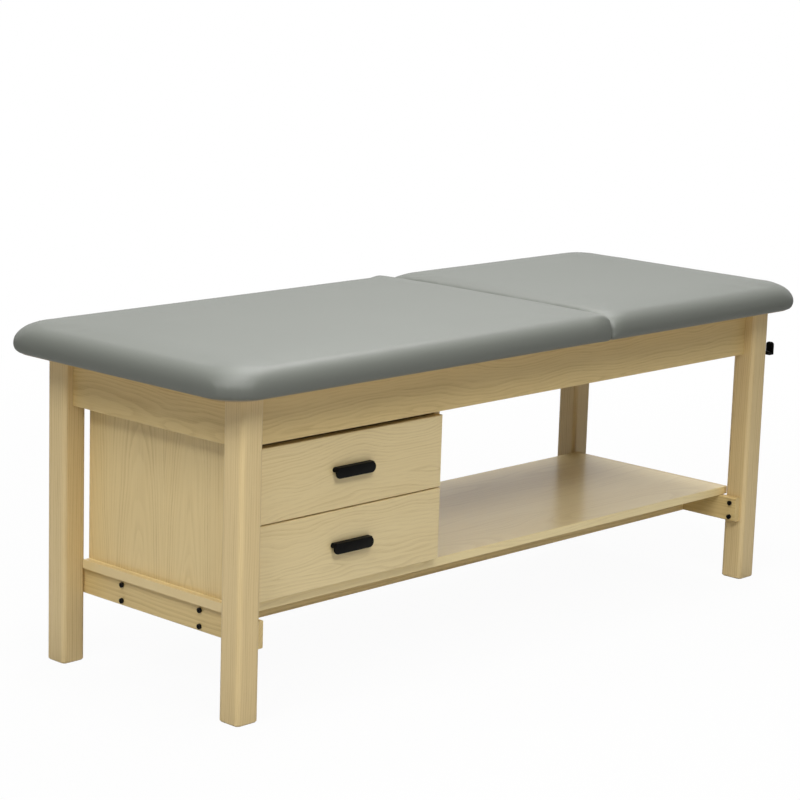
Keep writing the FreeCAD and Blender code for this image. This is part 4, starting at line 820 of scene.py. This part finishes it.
# How white the camera sees the floor beside the bed, and where it turns full white
FLOOR_WHITE = 0.96
WHITENING_START = 1.2
WHITENING_END = 3.5

ROOM_LIGHT = 0.03
BACKDROP = Vector((0.727, 0.686, 0.0))
BACKDROP_EDGE = -0.1
BACKDROP_FULL = 0.5


def make_floor():
    paint = Paint("pale_floor")
    speck = paint.noise(paint.place(), scale=3.0)
    paint.finish(Base_Color=paint.mixed(speck * 0.05, FLOOR_TONE, scaled(FLOOR_TONE, 0.9)), Roughness=0.9)
    glow = paint.node("ShaderNodeEmission", inputs={"Color": WHITE, "Strength": 1.0})
    seen = paint.node("ShaderNodeLightPath", take="Is Camera Ray")
    x, y, _ = paint.parts(paint.place())
    far = paint.smooth(paint.maths("SQRT", x * x + y * y), low=WHITENING_START, high=WHITENING_END)
    white = far * (1 - FLOOR_WHITE) + FLOOR_WHITE
    mix = paint.node("ShaderNodeMixShader", inputs={0: seen * white, 1: paint.shaded(), 2: glow})
    paint.feed(paint.surface, mix)
    bpy.ops.object.select_all(action="DESELECT")
    bpy.ops.mesh.primitive_plane_add(size=FLOOR_SIZE, location=(0, 0, 0))
    floor = bpy.context.object
    floor.name = "floor"
    floor.data.materials.append(paint.material)


def make_world():
    """A dim room with a white backdrop behind the bed, which the camera and gloss see."""
    world = bpy.data.worlds.new("studio")
    bpy.context.scene.world = world
    world.use_nodes = True
    studio = Nodes(world.node_tree)
    direction = studio.node("ShaderNodeTexCoord", take="Generated")
    facing = studio.node("ShaderNodeVectorMath", {"operation": "DOT_PRODUCT"}, {0: direction, 1: BACKDROP},
                         "Value")
    behind = studio.smooth(facing, low=BACKDROP_EDGE, high=BACKDROP_FULL)
    seen, mirrored, through = studio.node(
        "ShaderNodeLightPath", take=("Is Camera Ray", "Is Glossy Ray", "Is Transmission Ray"))
    white = studio.maths("MAXIMUM", seen, studio.maths("MAXIMUM", mirrored, through) * behind)
    room = studio.node("ShaderNodeBackground", inputs={"Color": WHITE, "Strength": ROOM_LIGHT})
    backdrop = studio.node("ShaderNodeBackground", inputs={"Color": WHITE, "Strength": 1.0})
    mix = studio.node("ShaderNodeMixShader", inputs={0: white, 1: room, 2: backdrop})
    studio.node("ShaderNodeOutputWorld", inputs={"Surface": mix}, take=None)


# Lamps: name, bearing, height, side and power in watts
LAMPS = (("high_camera_side_lamp", -137, 80, 1.8, 180),
         ("head_rear_lamp", 35, 58, 1.8, 122),
         ("foot_side_lamp", -165, 42, 1.8, 108),
         ("camera_side_lamp", -116, 44, 1.8, 102))
LAMP_AWAY = 5.0
LAMP_AIM = Vector((0, 0, 0.5))


def direction_of(bearing, height):
    """A unit vector; the bearing turns from X towards Y, both in radians."""
    return Vector((math.cos(height) * math.cos(bearing), math.cos(height) * math.sin(bearing),
                   math.sin(height)))


def make_lamp(name, bearing, height, side, power):
    data = bpy.data.lights.new(name, "AREA")
    data.size = side
    data.energy = power
    lamp = bpy.data.objects.new(name, data)
    bpy.context.scene.collection.objects.link(lamp)
    away = direction_of(math.radians(bearing), math.radians(height))
    lamp.location = LAMP_AIM + away * LAMP_AWAY
    lamp.rotation_mode = "QUATERNION"
    lamp.rotation_quaternion = (-away).to_track_quat("-Z", "Y")


def make_camera():
    heading = math.radians(CAMERA_HEADING)
    dip = math.radians(CAMERA_DIP)
    roll = math.radians(CAMERA_ROLL)
    ahead = Vector((math.sin(heading) * math.cos(dip), math.cos(heading) * math.cos(dip), -math.sin(dip)))
    level_right = ahead.cross(Vector((0, 0, 1))).normalized()
    level_up = level_right.cross(ahead)
    right = level_right * math.cos(roll) + level_up * math.sin(roll)
    up = level_up * math.cos(roll) - level_right * math.sin(roll)
    data = bpy.data.cameras.new("camera")
    data.sensor_width = SENSOR_MM
    data.lens = CAMERA_LENS_MM
    data.clip_end = CAMERA_REACH
    camera = bpy.data.objects.new("camera", data)
    bpy.context.scene.collection.objects.link(camera)
    turn = Matrix((right, up, -ahead)).transposed().to_4x4()
    camera.matrix_world = Matrix.Translation(CAMERA_PLACE) @ turn
    bpy.context.scene.camera = camera


dress_all_wood()
dress_metals()
make_pads()
dress_decks()
make_floor()
make_world()
for lamp in LAMPS:
    make_lamp(*lamp)
make_camera()
